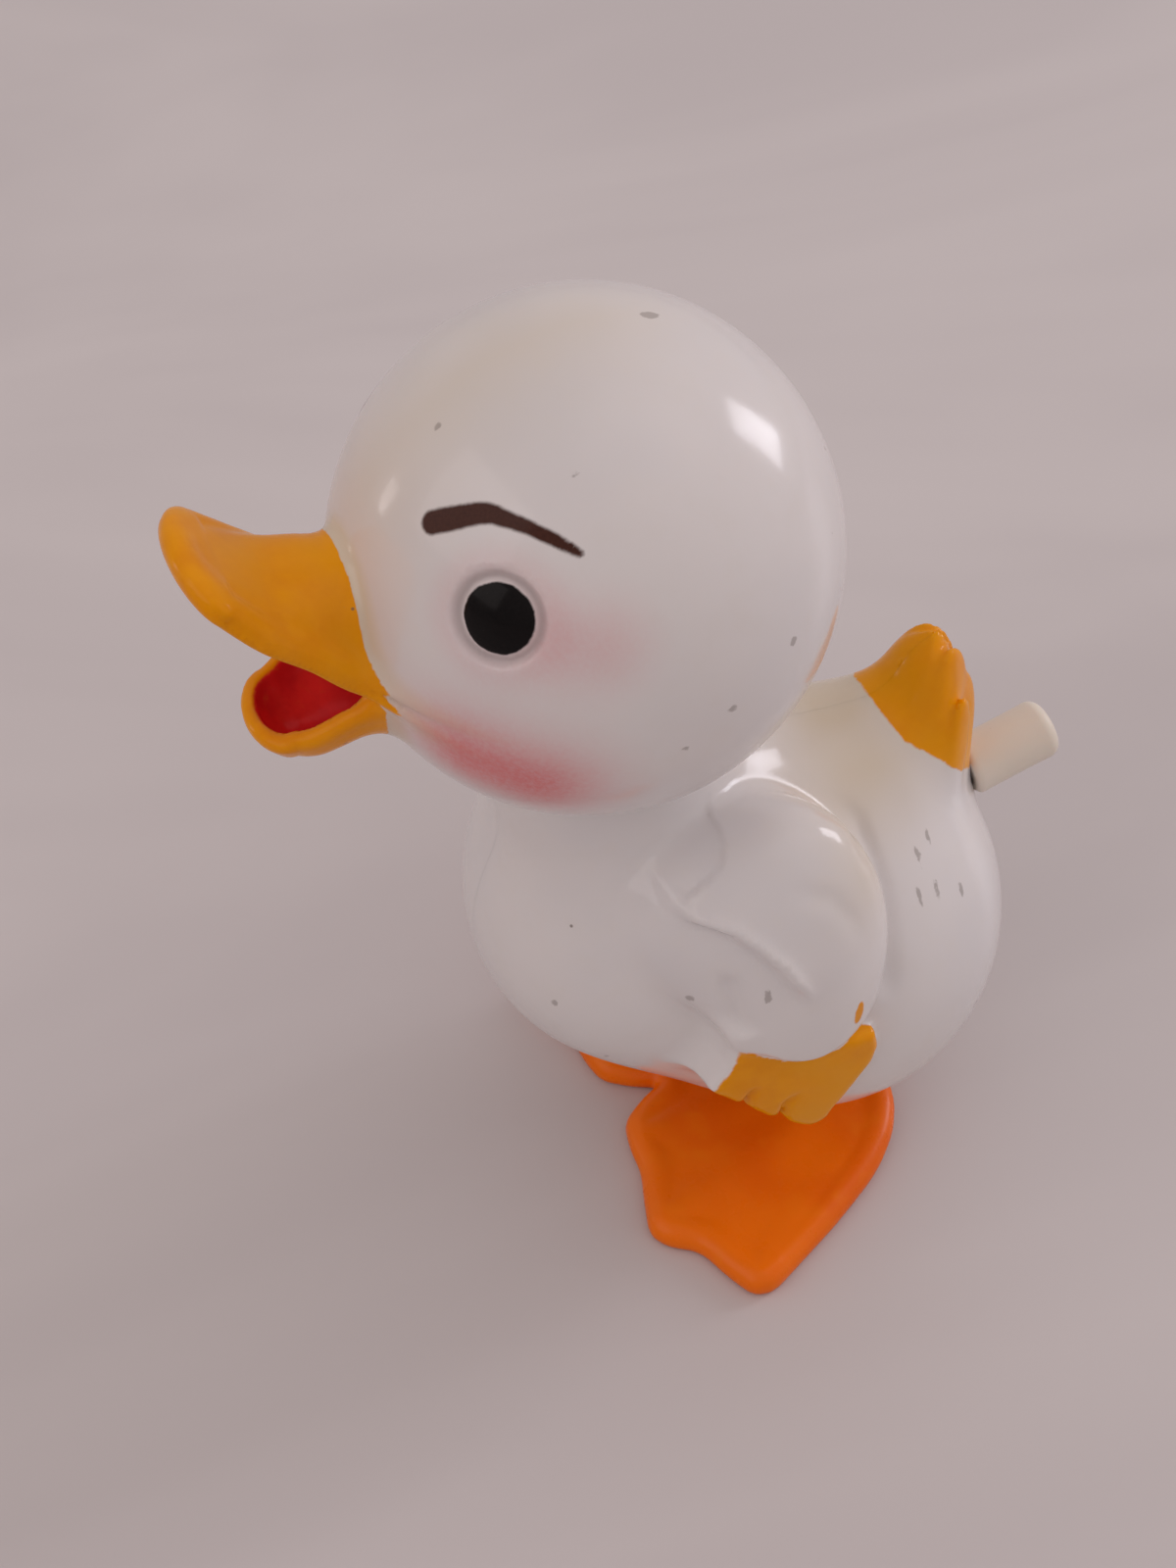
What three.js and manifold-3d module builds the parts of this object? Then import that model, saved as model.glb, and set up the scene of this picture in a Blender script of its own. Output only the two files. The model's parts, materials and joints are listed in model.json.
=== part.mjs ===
// A wind-up hopping duckling: a hollow plastic body in two halves, a hollow head with a bill, one webbed
// foot moulding hinged under the body, and a clockwork motor between two plates, wound by a rear knob.
// Millimetres. The duckling faces -Y, its left side is +X, and it stands on z = 0.
import * as THREE from "three";
import { mergeVertices } from "three/addons/utils/BufferGeometryUtils.js";
import Module from "manifold-3d";

const wasm = await Module();
wasm.setup();

// Driving dimensions
const WALL = 1.6;
const SEAM_HALF_GAP = 0.15;
const GAP = 0.3;
const RUNNING_GAP = 0.06;
const DEGREE = Math.PI / 180;

const headCentre = [0, -8.9, 77];
const headRadius = 21.2;
const headStretch = 1.035;
const neckRadius = 10.2;
const neckHoleRadius = 7.3;
const spigotRadius = 7;
const spigotWall = 1.4;
const spigotFromZ = 48;
const spigotTopZ = 61;

const bodyCentre = [0, 8, 30.5];
const bellyCentre = [0, 13.6, 26.2];
const bellySemi = [22.2, 20.9, 20.8];
const chestCentre = [0, -3.05, 35.8];
const chestSemi = [17.7, 17.3, 18.8];
const backRadius = 7.6;
const tailCentre = [0, 25.8, 44.8];
const tailSemi = [5.9, 5, 11.9];
const tailLean = -4.7 * DEGREE;

const pivot = { y: 15, z: 14, radius: 1, halfLength: 7 };
const lug = { halfWidth: 3.4, eyeRadius: 3 };
const boss = { radius: 2.8, outerX: 20 };
const slot = { halfLength: 4.6, fromZ: 4, topZ: 18.2 };
const rivet = { z: 9.6, radius: 0.7 };
const footThickness = 3;
const footWeb = 1.8;
const heelRise = 0.9;
const heelStartY = 15;
const heelEndY = 23.6;
const soleRise = 0.5;
const solePads = [
  { x: [9, 19], y: [-4.5, 2.5] },
  { x: [6.5, 16.5], y: [8, 14.5] },
];

const motorOrigin = [0, 10, 30.5];
const motorTilt = 16.5 * DEGREE;
const plateThickness = 0.8;
const frontPlateW = -8;
const rearPlateW = 6;
const plateHalfWidth = 12;
const arborRadius = 1.2;
const smallArborRadius = 0.6;
const pillarRadius = 1.2;
const tenonRadius = 0.7;
const tenonLength = 0.4;
const rib = { innerX: 10.6, outerX: 21, halfThickness: 1.9, lowZ: -5, highZ: 6 };
const knobRadius = 3.1;
const knobStart = 23.4;
const knobEnd = 33.43;
const knobBoreEnd = 31;

const greatTeeth = 32;
const wheelTeeth = 24;
const pinionTeeth = 8;
const greatModule = 0.45;
const wheelModule = 0.4;
const secondAxis = [-8, -4.1];
const camAxis = [-3.3, -8.44];
const camHigh = 3.4;
const camLow = 2.5;
const studRadius = 0.75;
const studAt = [5.4, 0];

const white = 0xf1efec;
const orange = 0xf0540a;
const steel = 0xa9adb2;
const brassColour = 0xc9a552;

const model = new THREE.Group();
model.name = "hopping_duckling";

// Solids

function solidOf(geometry) {
  geometry.deleteAttribute("normal");
  geometry.deleteAttribute("uv");
  const merged = mergeVertices(geometry, 1e-4);
  return new wasm.Manifold(
    new wasm.Mesh({
      numProp: 3,
      vertProperties: new Float32Array(merged.attributes.position.array),
      triVerts: new Uint32Array(merged.index.array),
    }),
  );
}

function geometryOf(solid) {
  const mesh = solid.getMesh();
  const geometry = new THREE.BufferGeometry();
  geometry.setAttribute("position", new THREE.BufferAttribute(mesh.vertProperties, 3));
  geometry.setIndex(new THREE.BufferAttribute(mesh.triVerts, 1));
  return geometry;
}

function add(name, solid, colour) {
  const geometry = geometryOf(solid);
  geometry.computeVertexNormals();
  const mesh = new THREE.Mesh(geometry, new THREE.MeshStandardMaterial({ color: colour }));
  mesh.name = name;
  model.add(mesh);
}

function moved(geometry, x, y, z) {
  return geometry.translate(x, y, z);
}

function box(low, high) {
  const size = high.map((value, i) => value - low[i]);
  const middle = high.map((value, i) => (value + low[i]) / 2);
  return solidOf(moved(new THREE.BoxGeometry(...size), ...middle));
}

// A round bar along one axis, from one end to the other, centred on a line.
function bar(axis, radius, from, to, a, b, sides = 24) {
  const geometry = new THREE.CylinderGeometry(radius, radius, to - from, sides);
  const middle = (from + to) / 2;
  if (axis === "x") {
    geometry.rotateZ(-Math.PI / 2);
    return solidOf(moved(geometry, middle, a, b));
  }
  if (axis === "y") return solidOf(moved(geometry, a, middle, b));
  geometry.rotateX(Math.PI / 2);
  return solidOf(moved(geometry, a, b, middle));
}

function ball(centre, radius, wide = 36, high = 24) {
  return solidOf(moved(new THREE.SphereGeometry(radius, wide, high), ...centre));
}

// An egg: a ball that stands a little taller than it is wide.
function egg(centre, radius, wide = 36, high = 24) {
  const geometry = new THREE.SphereGeometry(radius, wide, high);
  geometry.scale(1, 1, headStretch);
  return solidOf(moved(geometry, ...centre));
}

// A flat outline in the X-Z plane, thickened along Y from one station to the next.
function slab(outline, fromY, toY, holes = []) {
  const shape = new THREE.Shape(outline.map(([x, z]) => new THREE.Vector2(x, z)));
  for (const [x, z, radius] of holes) {
    shape.holes.push(new THREE.Path().absarc(x, z, radius, 0, 2 * Math.PI, true));
  }
  const geometry = new THREE.ExtrudeGeometry(shape, {
    depth: toY - fromY,
    bevelEnabled: false,
    curveSegments: 12,
  });
  geometry.rotateX(Math.PI / 2);
  return solidOf(moved(geometry, 0, toY, 0));
}

// A flat outline in the Y-Z plane, thickened along X.
function sideSlab(outline, fromX, toX) {
  const shape = new THREE.Shape(outline.map(([y, z]) => new THREE.Vector2(y, z)));
  const geometry = new THREE.ExtrudeGeometry(shape, { depth: toX - fromX, bevelEnabled: false });
  geometry.rotateZ(Math.PI / 2);
  geometry.rotateY(Math.PI / 2);
  return solidOf(moved(geometry, fromX, 0, 0));
}

// The motor is built square to its own arbor and then tilted and moved into the body.
const motorMatrix = new THREE.Matrix4()
  .makeTranslation(...motorOrigin)
  .multiply(new THREE.Matrix4().makeRotationX(motorTilt));

function intoBody(solid) {
  return solid.transform(motorMatrix.elements);
}

// Soft forms of the body

function ellipsoidDistance(point, centre, semi, leanY = 0) {
  const dx = point[0] - centre[0];
  const dz = point[2] - centre[2];
  const x = (dx * Math.cos(leanY) - dz * Math.sin(leanY)) / semi[0];
  const y = (point[1] - centre[1]) / semi[1];
  const z = (dx * Math.sin(leanY) + dz * Math.cos(leanY)) / semi[2];
  const k0 = Math.hypot(x, y, z);
  const k1 = Math.hypot(x / semi[0], y / semi[1], z / semi[2]);
  return k1 > 0 ? (k0 * (k0 - 1)) / k1 : -Math.min(...semi);
}

function capsuleDistance(point, from, to, radius) {
  const along = to.map((value, i) => value - from[i]);
  const offset = point.map((value, i) => value - from[i]);
  const length2 = along.reduce((sum, value) => sum + value * value, 0);
  const dot = offset.reduce((sum, value, i) => sum + value * along[i], 0);
  const t = Math.min(1, Math.max(0, dot / length2));
  return Math.hypot(...offset.map((value, i) => value - t * along[i])) - radius;
}

function blend(a, b, width) {
  const h = Math.max(width - Math.abs(a - b), 0) / width;
  return Math.min(a, b) - (h * h * width) / 4;
}

const neckFrom = [0, -1, 42];
const neckTo = [0, -7.5, 54];
const backFrom = [0, 4, 43.2];
const backTo = [0, 20, 43.6];
const shoulder = { centre: [11.6, 0.4, 43], semi: [9, 11.6, 10.6], lean: 0 };
const sleeve = { centre: [17, 4.2, 40], semi: [6.7, 9.3, 10], lean: -11 * DEGREE };

function bodyDistance(point) {
  const mirrored = [Math.abs(point[0]), point[1], point[2]];
  let d = ellipsoidDistance(point, bellyCentre, bellySemi);
  d = blend(d, ellipsoidDistance(point, chestCentre, chestSemi), 8);
  d = blend(d, capsuleDistance(point, neckFrom, neckTo, neckRadius), 5);
  d = blend(d, capsuleDistance(point, backFrom, backTo, backRadius), 5);
  d = blend(d, ellipsoidDistance(mirrored, shoulder.centre, shoulder.semi, shoulder.lean), 2.5);
  d = blend(d, ellipsoidDistance(mirrored, sleeve.centre, sleeve.semi, sleeve.lean), 2.5);
  return d;
}

// The surface at one depth under the outside, found along rays from the middle of the body.
function bodySurface(depth, wide, high) {
  const geometry = new THREE.SphereGeometry(1, wide, high);
  geometry.rotateX(Math.PI / 2);
  const position = geometry.attributes.position;
  const reach = 60;
  for (let i = 0; i < position.count; i++) {
    const ray = [position.getX(i), position.getY(i), position.getZ(i)];
    let near = 0;
    let far = reach;
    for (let step = 0; step < 30; step++) {
      const middle = (near + far) / 2;
      const point = ray.map((value, k) => bodyCentre[k] + middle * value);
      if (bodyDistance(point) < -depth) near = middle;
      else far = middle;
    }
    position.setXYZ(i, ...ray.map((value, k) => bodyCentre[k] + near * value));
  }
  return solidOf(geometry);
}

// Wing tips: a thin fan with three lobes below each sleeve.
const wingLobes = [
  { centre: [20.6, 7.6, 26], tilt: 14 },
  { centre: [20.7, 2.6, 28], tilt: 4 },
  { centre: [19.6, -1.6, 31.6], tilt: -12 },
];
const lobeSemi = [2.4, 3.5, 7.2];
const lobeFlare = -5;

function wingTip(side) {
  let fan = null;
  for (const { centre, tilt } of wingLobes) {
    const geometry = new THREE.SphereGeometry(1, 16, 12);
    geometry.scale(...lobeSemi);
    geometry.rotateX(tilt * DEGREE);
    geometry.rotateY(lobeFlare * DEGREE * side);
    moved(geometry, side * centre[0], centre[1], centre[2]);
    const lobe = solidOf(geometry);
    fan = fan ? fan.add(lobe) : lobe;
  }
  return fan;
}

const headEgg = egg(headCentre, headRadius);
const bodyOutside = bodySurface(0, 44, 30);
const bodyInside = bodySurface(WALL, 24, 16);
const seat = egg(headCentre, headRadius + GAP);

function motorRibs() {
  let ribs = null;
  let grooves = null;
  const grooveHalf = plateThickness / 2 + GAP;
  for (const w of [frontPlateW, rearPlateW]) {
    for (const side of [1, -1]) {
      const inner = side * rib.innerX;
      const outer = side * rib.outerX;
      const low = [Math.min(inner, outer), w - rib.halfThickness, rib.lowZ];
      const high = [Math.max(inner, outer), w + rib.halfThickness, rib.highZ];
      const solid = intoBody(box(low, high));
      const edge = side * (plateHalfWidth + GAP);
      const grooveLow = [Math.min(inner - side, edge), w - grooveHalf, rib.lowZ - 1];
      const grooveHigh = [Math.max(inner - side, edge), w + grooveHalf, rib.highZ + 1];
      const groove = intoBody(box(grooveLow, grooveHigh));
      ribs = ribs ? ribs.add(solid) : solid;
      grooves = grooves ? grooves.add(groove) : groove;
    }
  }
  return ribs.subtract(grooves);
}

// The tail is an egg that leans back and merges with the rump.
function tail(inset) {
  const geometry = new THREE.SphereGeometry(1, 24, 18);
  geometry.scale(...tailSemi.map((value) => value - inset));
  geometry.rotateX(tailLean);
  return solidOf(moved(geometry, ...tailCentre));
}

function bodyShell() {
  const skin = bodySurface(WALL / 2, 24, 16);
  let shell = bodyOutside.add(tail(0)).subtract(seat);
  shell = shell.add(wingTip(1)).add(wingTip(-1));
  const spigot = bar("z", spigotRadius, spigotFromZ, spigotTopZ, 0, headCentre[1], 32);
  shell = shell.add(spigot);
  const hollow = bodyInside.add(tail(WALL));
  shell = shell.subtract(hollow.subtract(egg(headCentre, headRadius + GAP + WALL)));
  const boreRadius = spigotRadius - spigotWall;
  shell = shell.subtract(bar("z", boreRadius, spigotFromZ - 3, spigotTopZ + 1, 0, headCentre[1], 24));
  shell = shell.add(motorRibs().intersect(skin));
  for (const side of [1, -1]) {
    const start = lug.halfWidth + GAP;
    const from = side > 0 ? start : -boss.outerX;
    const to = side > 0 ? boss.outerX : -start;
    shell = shell.add(bar("x", boss.radius, from, to, pivot.y, pivot.z).intersect(skin));
  }
  const pinRoom = pivot.halfLength + GAP;
  shell = shell.subtract(bar("x", pivot.radius + RUNNING_GAP, -pinRoom, pinRoom, pivot.y, pivot.z));
  const slotHalf = lug.halfWidth + GAP;
  const slotLow = [-slotHalf, pivot.y - slot.halfLength, slot.fromZ];
  const slotHigh = [slotHalf, pivot.y + slot.halfLength, slot.topZ];
  shell = shell.subtract(box(slotLow, slotHigh));
  const arborHole = intoBody(bar("y", arborRadius + 0.5, 15, 40, 0, 0));
  return shell.subtract(arborHole);
}

const shell = bodyShell();
const big = 80;
add("body_shell_left", shell.intersect(box([SEAM_HALF_GAP, -big, -1], [big, big, 2 * big])), white);
add("body_shell_right", shell.intersect(box([-big, -big, -1], [-SEAM_HALF_GAP, big, 2 * big])), white);

// A tube-like form along the bill: rings of points blended between stations, each with its own
// centre, half width, height above and depth below.
function ringed(stations, around = 18, along = 11) {
  const geometry = new THREE.CylinderGeometry(1, 1, 1, around, along);
  const position = geometry.attributes.position;
  const curves = stations[0].map((_, k) => {
    return new THREE.SplineCurve(stations.map((row, i) => new THREE.Vector2(i, row[k])));
  });
  for (let i = 0; i < position.count; i++) {
    const t = position.getY(i) + 0.5;
    const sides = [position.getX(i), position.getZ(i)];
    const [y, z, half, above, below, lean] = curves.map((curve) => curve.getPoint(t).y);
    const lift = sides[1] > 0 ? -sides[1] * below : -sides[1] * above;
    const tilt = lean * DEGREE;
    position.setXYZ(i, sides[0] * half, y + lift * Math.sin(tilt), z + lift * Math.cos(tilt));
  }
  return solidOf(geometry);
}

// Columns: y, z of the edge line, half width, height of the crown, depth below the edge, lean of the ring
const upperBill = [
  [-22, 73.6, 7.7, 11.2, 1.2, 0],
  [-25, 74, 7.7, 10.6, 1.2, 0],
  [-30.1, 75.7, 7.4, 7.8, 1.2, 14],
  [-33.9, 79.4, 7.4, 5.8, 1.4, 36],
  [-37.3, 82.3, 7.3, 2.4, 1.4, 42],
  [-39.9, 84.9, 6.4, 1.2, 1.4, 44],
  [-42, 87.1, 3.6, 1, 0.9, 46],
];
const lowerBill = [
  [-20, 73, 6.9, 0.8, 7.2, 0],
  [-24, 72.8, 6.9, 0.8, 7, 0],
  [-28, 72.6, 6.8, 0.8, 6.2, -10],
  [-31.3, 71.1, 6.15, 0.7, 5.3, -24],
  [-34.2, 69.4, 5.4, 0.7, 4.4, -26],
  [-35.8, 68.9, 4.6, 0.6, 3.4, -18],
  [-38.2, 68.1, 2.4, 0.5, 1.4, -10],
];
const mouthHollow = [
  [-23.6, 73, 5.5, 2.6, 5.2, 0],
  [-27.4, 73, 5.6, 2.4, 5.2, 0],
  [-30.8, 71.6, 5.2, 3, 4.3, -15],
  [-33.6, 70, 4.5, 3, 3.3, -24],
  [-35.4, 69.3, 3.6, 3, 2.5, -18],
  [-36.8, 68.9, 1.6, 2.4, 1.2, -12],
];
const mouthWall = 1.4;

function eyeHollow(side) {
  const direction = new THREE.Vector3(side * 0.689, -0.609, 0.393).normalize();
  const hollowRadius = 9;
  const depth = 0.6;
  const centre = direction.multiplyScalar(headRadius + hollowRadius - depth);
  const at = centre.toArray().map((value, i) => value + headCentre[i]);
  return ball(at, hollowRadius, 20, 14);
}

function headShell() {
  const neck = bar("z", neckHoleRadius, 40, 66, 0, headCentre[1], 32);
  const crown = egg(headCentre, headRadius - WALL, 20, 14);
  let head = headEgg.add(ringed(upperBill)).add(ringed(lowerBill));
  head = head.subtract(ringed(mouthHollow, 14, 8));
  head = head.subtract(crown.subtract(ringed(mouthHollow.map(thickened), 12, 6)));
  head = head.subtract(neck);
  for (const side of [1, -1]) head = head.subtract(eyeHollow(side));
  return head;
}

function thickened([y, z, half, above, below, lean]) {
  return [y + mouthWall, z, half + mouthWall, above + mouthWall, below + mouthWall, lean];
}

add("head_shell", headShell(), white);

// Feet: one moulding, two webbed feet with three toes each, and a lug between them on the hinge pin
const footOutline = [
  [0, -0.4],
  [1.2, -3],
  [3.2, -5.8],
  [6.4, -6.5],
  [9.6, -6.6],
  [13.2, -7.8],
  [16.8, -8.8],
  [18.6, -7.6],
  [20.6, -4.8],
  [24.4, -3.4],
  [27.2, -2],
  [27.7, 0.2],
  [25.8, 4],
  [22.8, 10],
  [19, 16.4],
  [15.6, 20.2],
  [11.6, 22.7],
  [5.4, 23.6],
  [0, 23.6],
];

function footShape(inset) {
  const halfWidth = 27.7;
  const halfLength = 16;
  const centreY = 7.5;
  const half = footOutline.map(([x, y]) => [
    x * (1 - inset / halfWidth),
    centreY + (y - centreY) * (1 - inset / halfLength),
  ]);
  const other = half
    .slice(1, -1)
    .reverse()
    .map(([x, y]) => [-x, y]);
  return new THREE.Shape([...half, ...other].map(([x, y]) => new THREE.Vector2(x, y)));
}

function footPlate() {
  const bevel = 0.9;
  const plate = new THREE.ExtrudeGeometry(footShape(bevel), {
    depth: footThickness - 2 * bevel,
    bevelThickness: bevel,
    bevelSize: bevel,
    bevelOffset: 0,
    bevelSegments: 2,
  });
  return solidOf(moved(plate, 0, 0, bevel));
}

function footWebs() {
  let webs = null;
  const panels = [
    [[5.6, -3], [12.2, -4], [10.4, 15.6], [4.6, 16.4]],
    [[17.6, -3.6], [23.4, -0.6], [19.6, 8], [13, 15.4], [12.2, 13]],
  ];
  for (const side of [1, -1]) {
    for (const panel of panels) {
      const shape = new THREE.Shape(panel.map(([x, y]) => new THREE.Vector2(side * x, y)));
      const geometry = new THREE.ExtrudeGeometry(shape, { depth: 5, bevelEnabled: false });
      const web = solidOf(moved(geometry, 0, 0, footWeb));
      webs = webs ? webs.add(web) : web;
    }
  }
  return webs;
}

function feet() {
  let solid = footPlate().subtract(footWebs());
  const rear = 30;
  const heel = sideSlab(
    [
      [heelStartY, -1],
      [rear, -1],
      [rear, (heelRise * (rear - heelStartY)) / (heelEndY - heelStartY)],
      [heelStartY, 0],
    ],
    -big,
    big,
  );
  solid = solid.subtract(heel).subtract(box([-big, -big, -1], [big, big, soleRise]));
  for (const side of [1, -1]) {
    for (const pad of solePads) {
      const ends = pad.x.map((value) => side * value);
      const low = [Math.min(...ends), pad.y[0], 0];
      const high = [Math.max(...ends), pad.y[1], footWeb];
      solid = solid.add(box(low, high));
    }
  }
  const leg = sideSlab(
    [
      [pivot.y - 3.8, 1],
      [pivot.y + 3.8, 1.6],
      [pivot.y + 2.9, pivot.z],
      [pivot.y - 2.9, pivot.z],
    ],
    -lug.halfWidth,
    lug.halfWidth,
  );
  const eye = bar("x", lug.eyeRadius, -lug.halfWidth, lug.halfWidth, pivot.y, pivot.z);
  solid = solid.add(leg).add(eye);
  const pinHole = bar("x", pivot.radius + RUNNING_GAP, -5, 5, pivot.y, pivot.z);
  solid = solid.subtract(pinHole);
  const leverPocket = box([-lug.halfWidth - 1, pivot.y - 6, 7.4], [-2.2, pivot.y + 6, pivot.z + 6]);
  const rivetHole = bar("x", rivet.radius + RUNNING_GAP, -5, -0.6, pivot.y, rivet.z, 16);
  return solid.subtract(leverPocket).subtract(rivetHole);
}

add("feet", feet(), orange);
const pinEnd = pivot.halfLength;
add("pivot_pin", bar("x", pivot.radius, -pinEnd, pinEnd, pivot.y, pivot.z), steel);

// The steel lever on the foot lug. Its tab lies under the hop cam.
const leverOuterX = -lug.halfWidth;
const leverInnerX = -2.5;
function hopLever() {
  const arm = sideSlab(
    [
      [pivot.y - 2.2, 8],
      [pivot.y + 2.2, 8],
      [pivot.y + 2.2, pivot.z + 1.6],
      [pivot.y - 0.4, pivot.z + 2.6],
      [9.6, 17.1],
      [7.8, 17.3],
      [7.8, 16.2],
      [9.2, 15.7],
      [pivot.y - 2.6, pivot.z - 1],
    ],
    leverOuterX,
    leverInnerX,
  );
  const camTab = box([-4.4, 7.8, 16.2], [-2.4, 9.5, 17.05]);
  const springTab = box([-3, 11.2, 16.3], [2.4, 12.6, 17]);
  let lever = arm.add(camTab).add(springTab);
  lever = lever.subtract(bar("x", pivot.radius + 0.3, -6, 0, pivot.y, pivot.z));
  return lever.subtract(bar("x", rivet.radius + RUNNING_GAP, -5, 0, pivot.y, rivet.z, 16));
}
add("hop_lever", hopLever(), steel);

function leverRivet() {
  const outerEnd = leverOuterX - 0.25;
  const shank = bar("x", rivet.radius, outerEnd, -0.8, pivot.y, rivet.z, 16);
  const headEnd = bar("x", rivet.radius + 0.45, outerEnd, leverOuterX - 0.02, pivot.y, rivet.z, 16);
  return shank.add(headEnd);
}

// Motor: everything from here is square to the arbor, which runs along Y in the motor's own frame

function gearOutline(teeth, size, phase) {
  const pitchRadius = (teeth * size) / 2;
  const pitchAngle = (2 * Math.PI) / teeth;
  const tip = pitchRadius + 0.78 * size;
  const root = pitchRadius - 1.1 * size;
  const points = [];
  for (let i = 0; i < teeth; i++) {
    const middle = phase + i * pitchAngle;
    const corners = [
      [root, -0.24],
      [tip, -0.1],
      [tip, 0.1],
      [root, 0.24],
    ];
    for (const [radius, share] of corners) {
      const angle = middle + share * pitchAngle;
      points.push([radius * Math.cos(angle), radius * Math.sin(angle)]);
    }
  }
  return points;
}

function shifted(points, [x, z]) {
  return points.map(([a, b]) => [a + x, b + z]);
}

function facing(from, to) {
  return Math.atan2(to[1] - from[1], to[0] - from[0]);
}

const centre = [0, 0];
const greatPhase = facing(centre, secondAxis);
const secondPinionPhase = facing(secondAxis, centre) + Math.PI / pinionTeeth;
const wheelPhase = facing(secondAxis, camAxis);
const camPinionPhase = facing(camAxis, secondAxis) + Math.PI / pinionTeeth;

const pillarSpots = [
  [-9.6, 8.2],
  [9.6, 8.2],
  [10.2, -6.4],
  [4.8, -9.2],
];
const plateOutline = [
  [-plateHalfWidth, 9.2],
  [-plateHalfWidth, -5.6],
  [-8.6, -10],
  [-5, -11],
  [5, -11],
  [9.6, -9.6],
  [plateHalfWidth, -6],
  [plateHalfWidth, 9.2],
  [9.8, 11],
  [-9.8, 11],
];

function motorPlate(w) {
  const holes = [
    [0, 0, arborRadius + RUNNING_GAP],
    [...secondAxis, smallArborRadius + RUNNING_GAP],
    [...camAxis, smallArborRadius + RUNNING_GAP],
    ...pillarSpots.map(([x, z]) => [x, z, tenonRadius + RUNNING_GAP]),
  ];
  return slab(plateOutline, w - plateThickness / 2, w + plateThickness / 2, holes);
}
add("motor_plate_front", intoBody(motorPlate(frontPlateW)), steel);
add("motor_plate_rear", intoBody(motorPlate(rearPlateW)), steel);

const innerFront = frontPlateW + plateThickness / 2;
const innerRear = rearPlateW - plateThickness / 2;
const outerFront = frontPlateW - plateThickness / 2;
const outerRear = rearPlateW + plateThickness / 2;
pillarSpots.forEach(([x, z], i) => {
  const column = bar("y", pillarRadius, innerFront + 0.02, innerRear - 0.02, x, z, 16);
  const tenon = bar("y", tenonRadius, outerFront - tenonLength, outerRear + tenonLength, x, z, 16);
  add(`plate_pillar_${i + 1}`, intoBody(column.add(tenon)), brassColour);
});

// Winding arbor, knob, ratchet wheel
const arbor = bar("y", arborRadius, outerFront - 0.6, knobBoreEnd - 0.1, 0, 0);
add("winding_arbor", intoBody(arbor), steel);

function knob() {
  const points = [
    [0, knobStart],
    [2.4, knobStart],
    [knobRadius, knobStart + 0.6],
    [knobRadius, knobEnd - 1],
    [knobRadius - 0.3, knobEnd - 0.3],
    [knobRadius - 1, knobEnd],
    [0, knobEnd],
  ].map(([radius, y]) => new THREE.Vector2(radius, y));
  const body = solidOf(new THREE.LatheGeometry(points, 32));
  return body.subtract(bar("y", arborRadius + 0.04, knobStart - 1, knobBoreEnd, 0, 0));
}
add("winding_knob", intoBody(knob()), white);

const greatFrom = 3.6;
const greatTo = 4.5;
const ratchetFrom = 2.3;
const ratchetTo = 3.3;
function greatWheel() {
  const outline = gearOutline(greatTeeth, greatModule, greatPhase);
  const holes = [
    [0, 0, arborRadius + RUNNING_GAP],
    [...studAt, studRadius + RUNNING_GAP],
  ];
  return slab(outline, greatFrom, greatTo, holes);
}
add("great_wheel", intoBody(greatWheel()), brassColour);

function ratchetWheel() {
  const teeth = 12;
  const tip = 3.5;
  const root = 2.8;
  const pitch = (2 * Math.PI) / teeth;
  const points = [];
  for (let i = 0; i < teeth; i++) {
    const angle = pitch * i;
    const under = angle + 0.12 * pitch;
    points.push([tip * Math.cos(angle), tip * Math.sin(angle)]);
    points.push([root * Math.cos(under), root * Math.sin(under)]);
  }
  return slab(points, ratchetFrom, ratchetTo, [[0, 0, arborRadius + 0.04]]);
}
add("ratchet_wheel", intoBody(ratchetWheel()), steel);

// The click turns on a stud in the great wheel and its nose drops behind a ratchet tooth.
function click() {
  const outline = [
    [6.4, -0.2],
    [6.2, 1],
    [4.9, 2.2],
    [3.4, 2.9],
    [2.55, 2.75],
    [3.35, 2.15],
    [4.4, 0.9],
    [4.5, -0.7],
    [5.4, -1.2],
    [6.2, -0.9],
  ];
  return slab(outline, ratchetFrom, ratchetTo, [[...studAt, studRadius + RUNNING_GAP]]);
}
add("click", intoBody(click()), steel);

function clickStud() {
  return bar("y", studRadius, 2, greatTo + 0.4, ...studAt, 16);
}
add("click_stud", intoBody(clickStud()), steel);

function clickSpring() {
  const outline = [
    [6.7, -3.2],
    [7, -3.2],
    [7, 1.2],
    [6, 3],
    [4.9, 3.4],
    [4.8, 3.1],
    [5.8, 2.7],
    [6.7, 1.1],
  ];
  const strip = slab(outline, ratchetFrom + 0.1, ratchetTo - 0.1);
  const root = box([6.4, ratchetFrom, -3.6], [7.2, greatFrom - 0.02, -2.8]);
  return strip.add(root);
}
add("click_spring", intoBody(clickSpring()), steel);

// Mainspring: a flat strip in a spiral, from the arbor to a pillar
function mainspring() {
  const turns = 4;
  const steps = 18 * turns;
  const inner = arborRadius + 0.12;
  const outerRadius = 8;
  const strip = 0.32;
  const inside = [];
  const outside = [];
  for (let i = 0; i <= steps; i++) {
    const angle = (2 * Math.PI * turns * i) / steps;
    const radius = inner + ((outerRadius - inner) * i) / steps;
    inside.push([radius * Math.cos(angle), radius * Math.sin(angle)]);
    outside.push([(radius + strip) * Math.cos(angle), (radius + strip) * Math.sin(angle)]);
  }
  return slab([...outside, ...inside.reverse()], -1.8, 1.8);
}
add("mainspring", intoBody(mainspring()), steel);

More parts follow.
